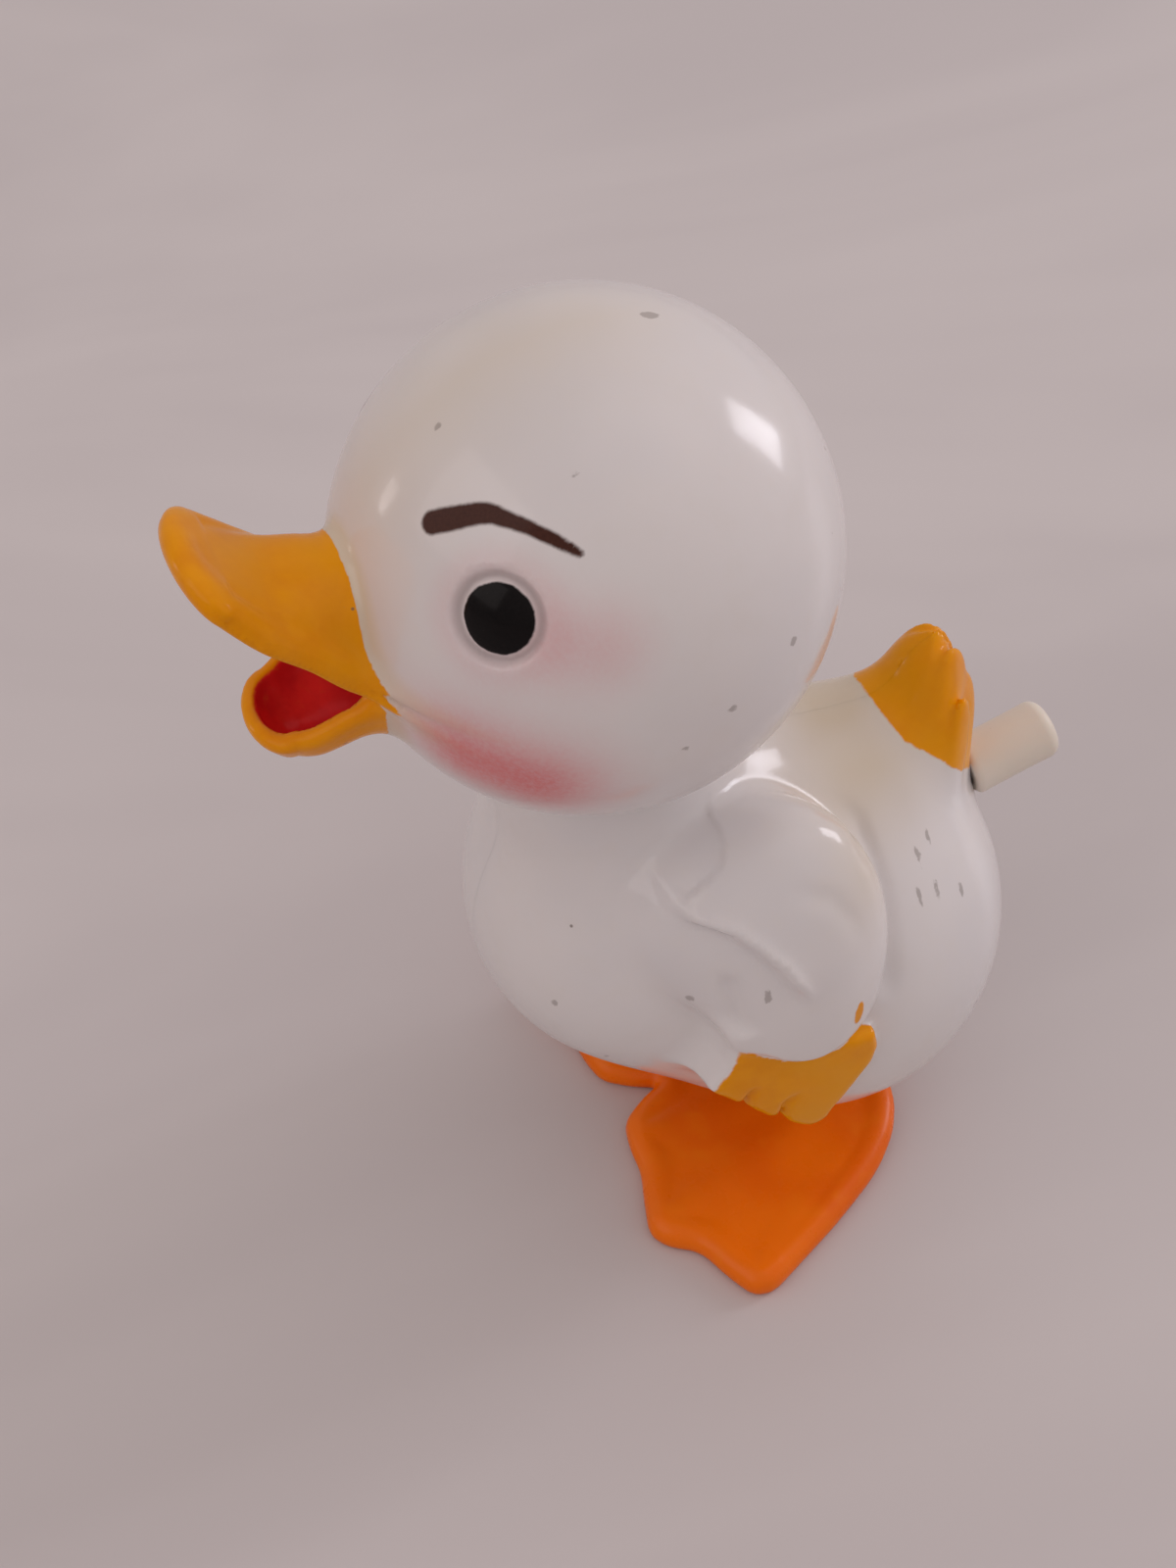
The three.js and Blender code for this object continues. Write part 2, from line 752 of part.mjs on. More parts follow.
// Second arbor and wheel
function turnedArbor(axis, phase, module, pinionFrom, pinionTo) {
  const shaft = bar("y", smallArborRadius, outerFront - 0.4, outerRear + 0.4, ...axis, 16);
  const outline = shifted(gearOutline(pinionTeeth, module, phase), axis);
  return shaft.add(slab(outline, pinionFrom, pinionTo));
}
add("second_arbor", intoBody(turnedArbor(secondAxis, secondPinionPhase, greatModule, 3, 5.2)), steel);

const wheelFrom = -3.4;
const wheelTo = -2.6;
function secondWheel() {
  const outline = shifted(gearOutline(wheelTeeth, wheelModule, wheelPhase), secondAxis);
  return slab(outline, wheelFrom, wheelTo, [[...secondAxis, smallArborRadius + 0.03]]);
}
add("second_wheel", intoBody(secondWheel()), brassColour);

add("cam_arbor", intoBody(turnedArbor(camAxis, camPinionPhase, wheelModule, -4, -2)), steel);

function hopCam() {
  const points = [];
  const steps = 24;
  for (let i = 0; i < steps; i++) {
    const angle = -Math.PI / 2 + (2 * Math.PI * i) / steps;
    const radius = camLow + ((camHigh - camLow) * i) / (steps - 1);
    points.push([radius * Math.cos(angle), radius * Math.sin(angle)]);
  }
  return slab(shifted(points, camAxis), -5.7, -4.3, [[...camAxis, smallArborRadius + 0.03]]);
}
add("hop_cam", intoBody(hopCam()), steel);

add("lever_rivet", leverRivet(), steel);

// Return spring: a bent leaf from the foot of the front plate to the lever
function returnSpring() {
  const outline = [
    [-7.56, -6],
    [-7.3, -6],
    [-7.3, -9],
    [-5.6, -11.9],
    [-1.6, -13.1],
    [-1.7, -13.35],
    [-5.9, -12.2],
    [-7.56, -9.2],
  ];
  return sideSlab(outline, 0.5, 2.3);
}
add("return_spring", intoBody(returnSpring()), steel);

export default model;
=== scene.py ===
"""A glossy white wind-up hopping duckling on its orange webbed feet, standing on a pale floor."""

import json
import math

import bmesh
import bpy
import numpy as np
import openvdb
from mathutils import Matrix, Vector


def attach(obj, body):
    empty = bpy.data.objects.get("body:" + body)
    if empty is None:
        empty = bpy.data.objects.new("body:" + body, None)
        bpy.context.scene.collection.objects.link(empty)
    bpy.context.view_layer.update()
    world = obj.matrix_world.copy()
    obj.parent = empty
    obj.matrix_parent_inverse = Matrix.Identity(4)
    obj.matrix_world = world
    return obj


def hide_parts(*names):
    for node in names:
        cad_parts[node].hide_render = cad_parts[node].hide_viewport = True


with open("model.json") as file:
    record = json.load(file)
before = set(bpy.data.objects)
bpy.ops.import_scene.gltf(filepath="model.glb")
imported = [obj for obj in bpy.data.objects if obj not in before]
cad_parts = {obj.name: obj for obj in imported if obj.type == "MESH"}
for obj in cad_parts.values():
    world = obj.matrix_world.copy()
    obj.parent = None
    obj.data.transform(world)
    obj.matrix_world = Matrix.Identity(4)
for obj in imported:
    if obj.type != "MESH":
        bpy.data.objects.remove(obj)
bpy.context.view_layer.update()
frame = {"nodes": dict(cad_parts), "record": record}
nodes = frame["nodes"]
scene = bpy.context.scene
MM = 0.001

# ---------------------------------------------------------------- sizes, in millimetres
HEAD = np.array([0.0, -8.9, 77.0])
HEAD_R = 21.2
STRETCH = 1.035  # the head's height against its width
WALL = 1.6
GAP = 0.3  # clearance of the head in its seat
SEAM = 0.005  # each body half stops this far from the middle plane
EDGE = 0.3  # rounding of cut edges
NECK_HOLE_R, NECK_HOLE_TOP = 7.3, 66
SPIGOT_R, SPIGOT_BORE_R = 7.0, 5.6
SPIGOT_FOOT, SPIGOT_TOP = 46, 61
PIVOT = (15.0, 14.0)  # y and z of the hinge pin
PIN_R, PIN_HOLE_HALF = 1.06, 7.3
BOSS_R = 2.8
LUG_HALF, LUG_R = 3.4, 3.0
SLOT_HALF, SLOT_REACH, SLOT_TOP = 3.7, 4.6, 18.2
MOTOR = Vector((0, 10, 30.5))
TILT = math.radians(16.5)  # of the motor's arbor
ARBOR_HOLE_R, ARBOR_HOLE_FROM = 1.7, 15
KNOB_START, KNOB_END, KNOB_R = 23.4, 32.93, 3.1
KNOB_BORE_R = 1.24

# ---------------------------------------------------------------- distance fields


def ell(P, c, s, lean=0.0, pitch=0.0):
    """Approximate distance to an ellipsoid turned by lean about Y and by pitch about X."""
    dx, dy, dz = P[0] - c[0], P[1] - c[1], P[2] - c[2]
    if pitch:
        dy, dz = dy * math.cos(pitch) + dz * math.sin(pitch), -dy * math.sin(pitch) + dz * math.cos(pitch)
    if lean:
        dx, dz = dx * math.cos(lean) - dz * math.sin(lean), dx * math.sin(lean) + dz * math.cos(lean)
    k0 = np.sqrt((dx / s[0]) ** 2 + (dy / s[1]) ** 2 + (dz / s[2]) ** 2)
    k1 = np.sqrt((dx / s[0] ** 2) ** 2 + (dy / s[1] ** 2) ** 2 + (dz / s[2] ** 2) ** 2)
    return k0 * (k0 - 1) / np.maximum(k1, 1e-6)


def capsule(P, a, b, r):
    """Distance to a round bar with ball ends, from a to b."""
    a, b = np.array(a, float), np.array(b, float)
    ab = b - a
    t = sum((P[i] - a[i]) * ab[i] for i in range(3)) / (ab @ ab)
    t = np.clip(t, 0, 1)
    return np.sqrt(sum((P[i] - a[i] - t * ab[i]) ** 2 for i in range(3))) - r


def smin(a, b, k):
    """Union of two fields with a fillet about k wide."""
    h = np.maximum(k - np.abs(a - b), 0) / k
    return np.minimum(a, b) - h * h * k / 4


def smax(a, b, k):
    """Intersection of two fields with a rounded edge about k wide."""
    return -smin(-a, -b, k)


def egg(P, r):
    """The head's own form: a ball that stands a little taller than it is wide."""
    return ell(P, HEAD, (r, r, r * STRETCH))


def tube(P, axis, r, a, b):
    """Distance to the side of an endless round bar along one axis."""
    u, v = [P[i] for i in range(3) if i != axis]
    return np.sqrt((u - a) ** 2 + (v - b) ** 2) - r


def bell(x, width):
    return np.exp(-((x / width) ** 2))


def step_up(x, low, high):
    """A smooth step from 0 at low to 1 at high."""
    t = np.clip((x - low) / (high - low), 0, 1)
    return t * t * (3 - 2 * t)


class Rail:
    """A smooth curve in the middle plane that carries changing sizes, for the bill."""

    def __init__(self, rows, count=44):
        rows = np.array(rows, float)
        t = np.linspace(0, len(rows) - 1, count)
        self.rows = np.stack([self.spline(rows[:, k], t) for k in range(rows.shape[1])], 1)
        self.p = self.rows[:, :2]
        seg = np.diff(self.p, axis=0)
        self.length = np.concatenate([[0], np.cumsum(np.hypot(seg[:, 0], seg[:, 1]))])

    @staticmethod
    def spline(values, t):
        """Values read off a smooth curve through them all, at places counted in steps."""
        i = np.clip(np.floor(t).astype(int), 0, len(values) - 2)
        w = t - i
        p0 = values[np.maximum(i - 1, 0)]
        p1, p2 = values[i], values[i + 1]
        p3 = values[np.minimum(i + 2, len(values) - 1)]
        return 0.5 * (2 * p1 + (p2 - p0) * w + (2 * p0 - 5 * p1 + 4 * p2 - p3) * w**2
                      + (3 * p1 - p0 - 3 * p2 + p3) * w**3)

    def local(self, Y, Z):
        """Length along, height off the curve (+ up), how far past its end and how far before its start."""
        best = np.full(np.broadcast(Y, Z).shape, 1e9)
        along, off, past, before = (np.zeros_like(best) for _ in range(4))
        last = len(self.p) - 2
        for i in range(len(self.p) - 1):
            a, b = self.p[i], self.p[i + 1]
            ab = b - a
            size = math.hypot(*ab)
            raw = ((Y - a[0]) * ab[0] + (Z - a[1]) * ab[1]) / size
            over = np.maximum(raw - size, 0) if i == last else 0.0
            under = -raw if i == 0 else -1e3
            t = np.clip(raw, 0, size)
            ey, ez = Y - a[0] - t * ab[0] / size, Z - a[1] - t * ab[1] / size
            d = ey * ey + ez * ez
            side = (Z - a[1]) * (-ab[0]) / size + (Y - a[0]) * ab[1] / size
            near = d < best
            best = np.where(near, d, best)
            along = np.where(near, self.length[i] + t, along)
            off = np.where(near, side, off)
            past = np.where(near, over, past)
            before = np.where(near, under, before)
        return along, off, past, before

    def at(self, along, column):
        return np.interp(along, self.length, self.rows[:, column])


# y and z of the bill's edge line and its half width, then the height above for the upper bill,
# the depth below for the lower bill, and both for the mouth's hollow
UPPER = Rail([
    (-20, 73.4, 7.7, 11.8), (-25, 74.0, 7.7, 10.6), (-30.1, 75.7, 7.4, 7.8),
    (-33.9, 79.4, 7.4, 5.8), (-37.3, 82.3, 7.3, 2.4), (-39.9, 84.9, 6.4, 0.9)])
LOWER = Rail([
    (-18, 73.2, 6.9, 7.4), (-24, 72.8, 6.9, 7.0), (-28, 72.6, 6.8, 6.2),
    (-31.3, 71.1, 6.15, 5.3), (-34.2, 69.4, 5.4, 4.4), (-35.8, 68.9, 4.6, 3.4)])
HOLLOW = Rail([
    (-23.6, 73.0, 5.5, 2.6, 5.2), (-27.4, 73.0, 5.6, 2.4, 5.2), (-30.8, 71.6, 5.2, 3.0, 4.3),
    (-33.6, 70.0, 4.5, 3.0, 3.3), (-35.4, 69.3, 3.6, 3.0, 2.5)])


def section(x, n, e, half, above, below, round_end):
    """Approximate distance to a rounded section that ends in a round nose."""
    b = np.where(n > 0, above, below)
    k0 = np.sqrt((x / half) ** 2 + (n / b) ** 2 + (e / round_end) ** 2)
    k1 = np.sqrt((x / half**2) ** 2 + (n / b**2) ** 2 + (e / round_end**2) ** 2)
    return k0 * (k0 - 1) / np.maximum(k1, 1e-6)


def plan_edge(x, e, half, round_end):
    """Distance inside or outside the bill's outline, seen from above."""
    plan = np.sqrt((x / half) ** 2 + (e / round_end) ** 2)
    return (plan - 1) * np.where(e > 0, np.minimum(half, round_end), half)


def lip(n, edge, inset, height, radius):
    """A round bead that follows the outline."""
    return np.sqrt((edge + inset) ** 2 + (n - height) ** 2) - radius


def upper_bill(P):
    along, n, past, before = UPPER.local(P[1], P[2])
    half, above = UPPER.at(along, 2), UPPER.at(along, 3)
    crown = section(P[0], n, past, half - 1.4, above, below=0.8, round_end=1.8)
    flange = section(P[0], n, past, half, above=0.8, below=1.15, round_end=3.2)
    rim = lip(n, plan_edge(P[0], past, half, round_end=3.2), inset=0.85, height=0.3, radius=0.9)
    d = smin(smin(crown, flange, 2.4), rim, 0.8)
    return np.maximum(d, before)


def lower_bill(P):
    along, n, past, before = LOWER.local(P[1], P[2])
    half, below = LOWER.at(along, 2), LOWER.at(along, 3)
    bowl = section(P[0], n, past, half, 1.0, below, round_end=2.6)
    rim = lip(n, plan_edge(P[0], past, half, round_end=2.6), inset=0.7, height=0.2, radius=0.85)
    d = smax(smin(bowl, rim, 0.8), n - 0.95, 0.4)
    return np.maximum(d, before)


def mouth_hollow(P):
    along, n, past, before = HOLLOW.local(P[1], P[2])
    half, above, below = (HOLLOW.at(along, column) for column in (2, 3, 4))
    d = section(P[0], n, past, half, above, below, round_end=2.0)
    return np.maximum(d, before)


BILL_FILLET = 2.4
MOUTH_EDGE = 0.5
MOUTH_WALL = 1.3
EYE = np.array([0.689, -0.609, 0.393])
EYE /= np.linalg.norm(EYE)
EYE_DEPTH = 0.42
EYE_DISH = (3.45, 4.0)  # radius of the dish at its floor and at its rim
EYE_MOAT, MOAT_WIDTH, MOAT_DEPTH = 3.25, 0.3, 0.2
EYE_DOME = 3.0


def eye_distance(P):
    """Distance along the head's skin from the middle of an eye."""
    v = [np.abs(P[0]) - HEAD[0], P[1] - HEAD[1], P[2] - HEAD[2]]
    r = np.sqrt(v[0] ** 2 + v[1] ** 2 + v[2] ** 2)
    c = (v[0] * EYE[0] + v[1] * EYE[1] + v[2] * EYE[2]) / np.maximum(r, 1e-6)
    return HEAD_R * np.arccos(np.clip(c, -1, 1))


def head_outside(P):
    skull = egg(P, HEAD_R)
    bill = np.minimum(upper_bill(P), lower_bill(P))
    d = smin(skull, bill, BILL_FILLET)
    d = smax(d, -mouth_hollow(P), MOUTH_EDGE)
    r = eye_distance(P)
    dish = EYE_DEPTH * (1 - step_up(r, *EYE_DISH)) + MOAT_DEPTH * bell(r - EYE_MOAT, MOAT_WIDTH)
    dome = EYE_DEPTH * np.clip(1 - (r / EYE_DOME) ** 2, 0, 1)
    near_skin = np.abs(skull) < 3
    return d + (dish - dome) * near_skin


def head_shell(P):
    """The hollow head: its inside keeps a wall around the mouth's hollow, and the neck hole is open."""
    d = head_outside(P)
    inner = smax(egg(P, HEAD_R - WALL), MOUTH_WALL - mouth_hollow(P), MOUTH_EDGE)
    d = smax(d, -inner, EDGE)
    neck = np.maximum(tube(P, 2, NECK_HOLE_R, 0, HEAD[1]), P[2] - NECK_HOLE_TOP)
    return smax(d, -neck, EDGE)


def mirrored(P):
    return [np.abs(P[0]), P[1], P[2]]


# ellipsoids as middle, half sizes and leans; bars as ends and radius
RUMP = ((0, 13.6, 26.2), (22.2, 20.9, 20.8))
CHEST = ((0, -3.05, 35.8), (17.7, 17.3, 18.8))
NECK = ((0, -1, 42), (0, -7.5, 54), 10.2)
BACK = ((0, 4, 43.2), (0, 20, 43.6), 7.6)
KEEL = ((0, 23.5, 33), (2.6, 9.6, 13))  # runs down from the tail
SHOULDER = ((11.6, 0.4, 43), (9, 11.6, 10.6), 0.0)
SLEEVE = ((17.0, 4.2, 40), (6.7, 9.3, 14.5), math.radians(-11))
TAIL = ((0, 25.3, 45.0), (5.9, 4.5, 11.7), 0.0, math.radians(-4.7))
TAIL_REAR = ((0, 27.3, 43.2), (4.2, 4.2, 9.4), 0.0, math.radians(-4))
FAN_SKIN = ((0, 8, 34), (23.2, 34, 60))
FILLETS = {"chest": 8, "neck": 5, "back": 5, "tail": 3.2, "keel": 2.5, "sleeve": 3.6, "wing": 1.3}
HEM_Y, HEM_Z, HEM_CURVE = 4.6, 31.5, 0.07  # the sleeve's lower edge is a shallow parabola
# side-view (y, z) lines of the wing's folds and the outline of its feathered tip
FOLD = [
    (-6.9, 52.4), (-7.5, 50.7), (-7.4, 49.7), (-6.5, 49.0), (-5.0, 48.9), (-3.5, 48.5), (-1.7, 47.0),
    (-0.1, 45.2), (1.9, 41.9), (3.4, 39.4)]
FRONT_CREASE = [(-4.2, 44.7), (-3.1, 39.5), (-2.6, 36.5)]
REAR_CREASE = [
    (9.7, 52.1), (12.0, 49.6), (14.3, 45.7), (14.7, 43.3), (14.6, 41.6), (13.8, 38.3), (12.8, 32.6)]
ELBOW = [(0.8, 51.7), (1.5, 51.2), (3.8, 50.5), (5.6, 49.6), (7.3, 47.2), (9.0, 43.6)]
FAN = [
    (-3.2, 36.7), (-1.4, 36.8), (2.4, 34.0), (7.8, 32.0), (10.9, 31.3), (11.5, 29.1), (11.2, 27.0),
    (10.0, 24.9), (8.9, 22.8), (7.8, 20.9), (7.3, 19.5), (6.5, 18.9), (5.4, 18.7), (4.3, 19.3),
    (3.1, 20.4), (2.1, 22.2), (1.6, 22.1), (0.7, 22.4), (-0.8, 24.0), (-1.8, 25.4), (-2.5, 25.6),
    (-3.6, 26.7), (-4.6, 27.5), (-5.2, 28.3), (-4.5, 30.2), (-3.8, 32.2), (-3.4, 34.6)]
# the front of the wing tip stays bare, and the tail's yellow starts at a hand-painted line
BARE = [(-4.9, 27.9), (-3.4, 31.5), (-3.0, 33.3), (-3.0, 37.5)]
TAIL_PAINT = [
    (15, 52.4), (20.0, 51.2), (21.3, 49.4), (22.8, 48.4), (24.5, 47.1), (26.1, 45.5), (28.6, 42.9),
    (31, 40.0)]
FAN_NOTCHES = [((2.1, 22.2), (2.3, 24.2), (3.6, 26.3)), ((-1.8, 25.4), (-1.4, 26.8), (-0.7, 28.5))]


def polyline(P, points):
    """Distance to a side-view line, which side it is on (+ behind or above) and how far along."""
    best = np.full(P[0].shape, 1e9)
    sign = np.ones(P[0].shape)
    along = np.zeros(P[0].shape)
    total = 0.0
    for (ay, az), (by, bz) in zip(points, points[1:]):
        ey, ez = by - ay, bz - az
        size = math.hypot(ey, ez)
        raw = ((P[1] - ay) * ey + (P[2] - az) * ez) / size
        t = np.clip(raw, 0, size)
        d = (P[1] - ay - t * ey / size) ** 2 + (P[2] - az - t * ez / size) ** 2
        near = d < best
        best = np.where(near, d, best)
        sign = np.where(near, np.sign((P[2] - az) * ey - (P[1] - ay) * ez), sign)
        along = np.where(near, total + t, along)
        total += size
    return np.sqrt(best), sign, along / total


def groove(P, points, depth, width, fade=(0.12, 0.12)):
    """A rounded groove along a side-view line that fades out at both ends."""
    d, _, along = polyline(P, points)
    ends = step_up(along, 0, fade[0]) * step_up(1 - along, 0, fade[1])
    return depth * bell(d, width) * ends


def wing_fan(P):
    """The feathered tips, on the sides of the body only."""
    m = mirrored(P)
    fan = smax(ell(m, *FAN_SKIN), outline_distance(P[1], P[2], FAN), 1.1)
    cuts = sum(groove(P, line, depth=0.5, width=0.42, fade=(0.02, 0.6)) for line in FAN_NOTCHES)
    inside = m[0] < 8
    return fan + cuts + inside * 5.0


def tail_form(P):
    d = smin(ell(P, *TAIL), ell(P, *TAIL_REAR), 0.5)
    # feather ridges that run up the rear of the tail
    side = np.abs(P[0])
    ridges = 0.42 * np.cos(side * 2.6 + (P[1] - 27) * 1.5 + (P[2] - 44) * 0.3)
    mask = step_up(P[2], 40, 46) * step_up(P[1], 24.5, 27)
    return d + ridges * mask


def body_skin(P):
    """The body without its wings."""
    d = ell(P, *RUMP)
    d = smin(d, ell(P, *CHEST), FILLETS["chest"])
    d = smin(d, capsule(P, *NECK), FILLETS["neck"])
    d = smin(d, capsule(P, *BACK), FILLETS["back"])
    d = smin(d, tail_form(P), FILLETS["tail"])
    return smin(d, ell(P, *KEEL), FILLETS["keel"])


def body_outside(P):
    """The body with its sleeve-shaped wings and their folds, without the feathered tips."""
    m = mirrored(P)
    d = body_skin(P)
    hem = HEM_Z + HEM_CURVE * (P[1] - HEM_Y) ** 2
    sleeve = smax(ell(m, *SLEEVE), hem - P[2], 0.7)
    wing = smin(ell(m, *SHOULDER), sleeve, FILLETS["sleeve"])
    side = step_up(m[0], 7, 11)
    d = smin(d, wing, FILLETS["wing"])
    # the big fold is a step that dies away behind its raised crest
    fold, sign, along = polyline(P, FOLD)
    ends = step_up(along, 0, 0.3) * step_up(1 - along, 0, 0.3)
    s = fold * sign
    raised = step_up(s, -0.8, 0.45) * np.exp(-np.maximum(s - 0.45, 0) / 3.0)
    crest = bell(s - 0.6, 0.6)
    d = d - (0.85 * raised + 0.3 * crest) * ends * side
    creases = groove(P, FRONT_CREASE, depth=0.5, width=0.9, fade=(0.3, 0.1))
    creases = creases + groove(P, REAR_CREASE, depth=0.5, width=0.9)
    creases = creases + groove(P, ELBOW, depth=0.2, width=0.9, fade=(0.35, 0.35))
    return d + creases * side


def body_solid(P):
    """The hollow body with its head seat, neck spigot, pivot bosses, pin hole, slot and arbor hole."""
    skin = body_outside(P)
    # the front of each wing tip runs smoothly into the body
    out = smin(skin, wing_fan(P), 0.35 + 2.6 * step_up(-P[1], -0.5, 4.5))
    seat = egg(P, HEAD_R + GAP)
    d = smax(out, -seat, 0.4)
    spigot = np.maximum(tube(P, 2, SPIGOT_R, 0, HEAD[1]), P[2] - SPIGOT_TOP)
    d = np.minimum(d, np.maximum(spigot, SPIGOT_FOOT - P[2]))
    cavity = np.maximum(skin + WALL, -(seat - WALL))
    d = smax(d, -cavity, EDGE)
    d = smax(d, -np.maximum(tube(P, 2, SPIGOT_BORE_R, 0, HEAD[1]), SPIGOT_FOOT - 1 - P[2]), EDGE)
    across = np.abs(P[0])
    boss = np.maximum(np.maximum(tube(P, 0, BOSS_R, *PIVOT), SLOT_HALF - across), skin + WALL / 2)
    d = np.minimum(d, boss)
    pin = np.maximum(tube(P, 0, PIN_R, *PIVOT), across - PIN_HOLE_HALF)
    d = np.maximum(d, -pin)
    slot = np.maximum(across - SLOT_HALF, np.abs(P[1] - PIVOT[0]) - SLOT_REACH)
    d = smax(d, -np.maximum(slot, P[2] - SLOT_TOP), 0.4)
    # the arbor's hole, square to the tilted arbor
    v = -(P[1] - MOTOR[1]) * math.sin(TILT) + (P[2] - MOTOR[2]) * math.cos(TILT)
    w = (P[1] - MOTOR[1]) * math.cos(TILT) + (P[2] - MOTOR[2]) * math.sin(TILT)
    hole = np.maximum(np.sqrt(P[0] ** 2 + v * v) - ARBOR_HOLE_R, ARBOR_HOLE_FROM - w)
    return smax(d, -hole, EDGE)


def body_half(P, side):
    return smax(body_solid(P), SEAM - P[0] * side, 0.05)


def crisp_seam(co, side, step):
    """Points beside the seam's edges are moved onto the edges."""
    reach = 0.72 * step
    near = np.flatnonzero(np.abs(co[:, 0] - SEAM * side) < reach)
    near = near[np.abs(body_solid(co[near].T)) < reach]
    edge = co[near]
    edge[:, 0] = SEAM * side
    for _ in range(SETTLE_ROUNDS):
        g = gradient(body_solid, edge)
        g[:, 0] = 0
        edge -= (body_solid(edge.T) / np.maximum((g**2).sum(1), 0.05))[:, None] * g
    co[near] = edge


# one foot's outline from above, from the web between the feet round to the heel
FOOT = [
    (0, -0.4), (1.2, -3.0), (3.2, -5.8), (6.4, -6.5), (9.6, -6.6), (13.2, -7.8), (16.8, -8.8),
    (18.8, -7.6), (20.6, -4.8), (24.4, -3.4), (27.2, -2), (27.7, 0.2), (25.8, 4), (22.8, 10),
    (19, 16.4), (15.6, 20.2), (11.6, 22.7), (5.4, 23.6), (0, 23.6)]
WEB = 1.95  # thickness of the webbed feet
WEB_TOP = 3.0
HEEL_FROM, HEEL_RISE, HEEL_RUN = 15, 0.9, 8.6


def outline_distance(X, Y, points):
    """Signed distance to a closed outline, negative inside."""
    best = np.full(np.broadcast(X, Y).shape, 1e9)
    inside = np.zeros(best.shape, bool)
    n = len(points)
    for i in range(n):
        (ax, ay), (bx, by) = points[i], points[(i + 1) % n]
        ex, ey = bx - ax, by - ay
        t = np.clip(((X - ax) * ex + (Y - ay) * ey) / (ex * ex + ey * ey), 0, 1)
        best = np.minimum(best, (X - ax - t * ex) ** 2 + (Y - ay - t * ey) ** 2)
        crosses = (ay > Y) != (by > Y)
        if ey:
            inside ^= crosses & (X < ax + (Y - ay) * ex / ey)
    return np.where(inside, -1, 1) * np.sqrt(best)


def segment(X, Y, a, b):
    """Distance to a straight line from a to b, and how far along it."""
    ex, ey = b[0] - a[0], b[1] - a[1]
    t = np.clip(((X - a[0]) * ex + (Y - a[1]) * ey) / (ex * ex + ey * ey), 0, 1)
    return np.hypot(X - a[0] - t * ex, Y - a[1] - t * ey), t


def smooth_outline(points, rounds=2):
    """Corner cutting turns the drafted outline into a moulded, rounded one."""
    for _ in range(rounds):
        cut = []
        for i in range(len(points)):
            a, b = np.array(points[i]), np.array(points[(i + 1) % len(points)])
            cut += [tuple(0.8 * a + 0.2 * b), tuple(0.2 * a + 0.8 * b)]
        points = cut
    return points


FOOT_LOOP = smooth_outline(FOOT + [(-x, y) for x, y in FOOT[-2:0:-1]])
# the toes' ridges, from root to tip
TOES = (((4.6, 17.0), (6.0, -4.4)), ((9.0, 18.5), (16.2, -6.6)), ((13.4, 19.2), (25.6, -0.4)))


def feet_form(P):
    """Both webbed feet in one moulding, with the lug that stands up to the hinge pin."""
    X, Y, Z = P
    edge = outline_distance(X, Y, FOOT_LOOP)
    ax = np.abs(X)
    height = WEB + 0.52 * bell(edge + 1.7, 1.4)
    for a, b in TOES:
        d, t = segment(ax, Y, a, b)
        height = np.maximum(height, WEB + (0.12 + 0.4 * t) * bell(d, 2.2))
        height = height + 0.3 * np.exp(-(((ax - b[0]) ** 2 + (Y - b[1] - 0.6) ** 2) / 3.6))
    middle = bell(X, 5.5) * step_up(Y, 2, 9)
    height = np.minimum(height + 0.5 * middle, WEB_TOP)
    sole = np.maximum(Y - HEEL_FROM, 0) * HEEL_RISE / HEEL_RUN
    d = smax(edge, Z - height, 1.5)
    d = smax(d, sole - Z, 0.9)
    taper = 3.8 - (Z - 1) * 0.07
    leg = smax(ax - LUG_HALF, np.abs(Y - PIVOT[0]) - taper, 0.8)
    leg = np.maximum(np.maximum(leg, Z - PIVOT[1]), 1 - Z)
    eye = smax(tube(P, 0, LUG_R, *PIVOT), ax - LUG_HALF, 0.5)
    d = smin(d, np.minimum(leg, eye), 1.2)
    d = np.maximum(d, -(np.maximum(tube(P, 0, PIN_R, *PIVOT), ax - 5)))
    # room for the hop lever beside the lug
    pocket = np.maximum(np.maximum(X + 2.2, 7.4 - Z), np.abs(Y - PIVOT[0]) - 6)
    return np.maximum(d, -pocket)


# ---------------------------------------------------------------- meshes from the fields


GRID = 0.4
BAND = 3.0  # distances beyond this are cut off
SETTLE_ROUNDS = 3
BLOCK = 16  # grid layers worked out at a time
CREASE_ANGLE = math.radians(55)


def gradient(field, co, h=0.02):
    g = np.empty_like(co)
    for k in range(3):
        step = np.zeros(3)
        step[k] = h
        g[:, k] = (field((co + step).T) - field((co - step).T)) / (2 * h)
    return g


def settled(field, co, step):
    """The points drawn exactly onto the field's surface, by short Newton steps."""
    for _ in range(SETTLE_ROUNDS):
        g = gradient(field, co)
        size = np.maximum((g**2).sum(1), 0.05)
        move = -(field(co.T) / size)[:, None] * g
        length = np.linalg.norm(move, axis=1)
        limit = 0.35 * step / np.maximum(length, 1e-9)
        co += move * np.minimum(1, limit)[:, None]
    return co


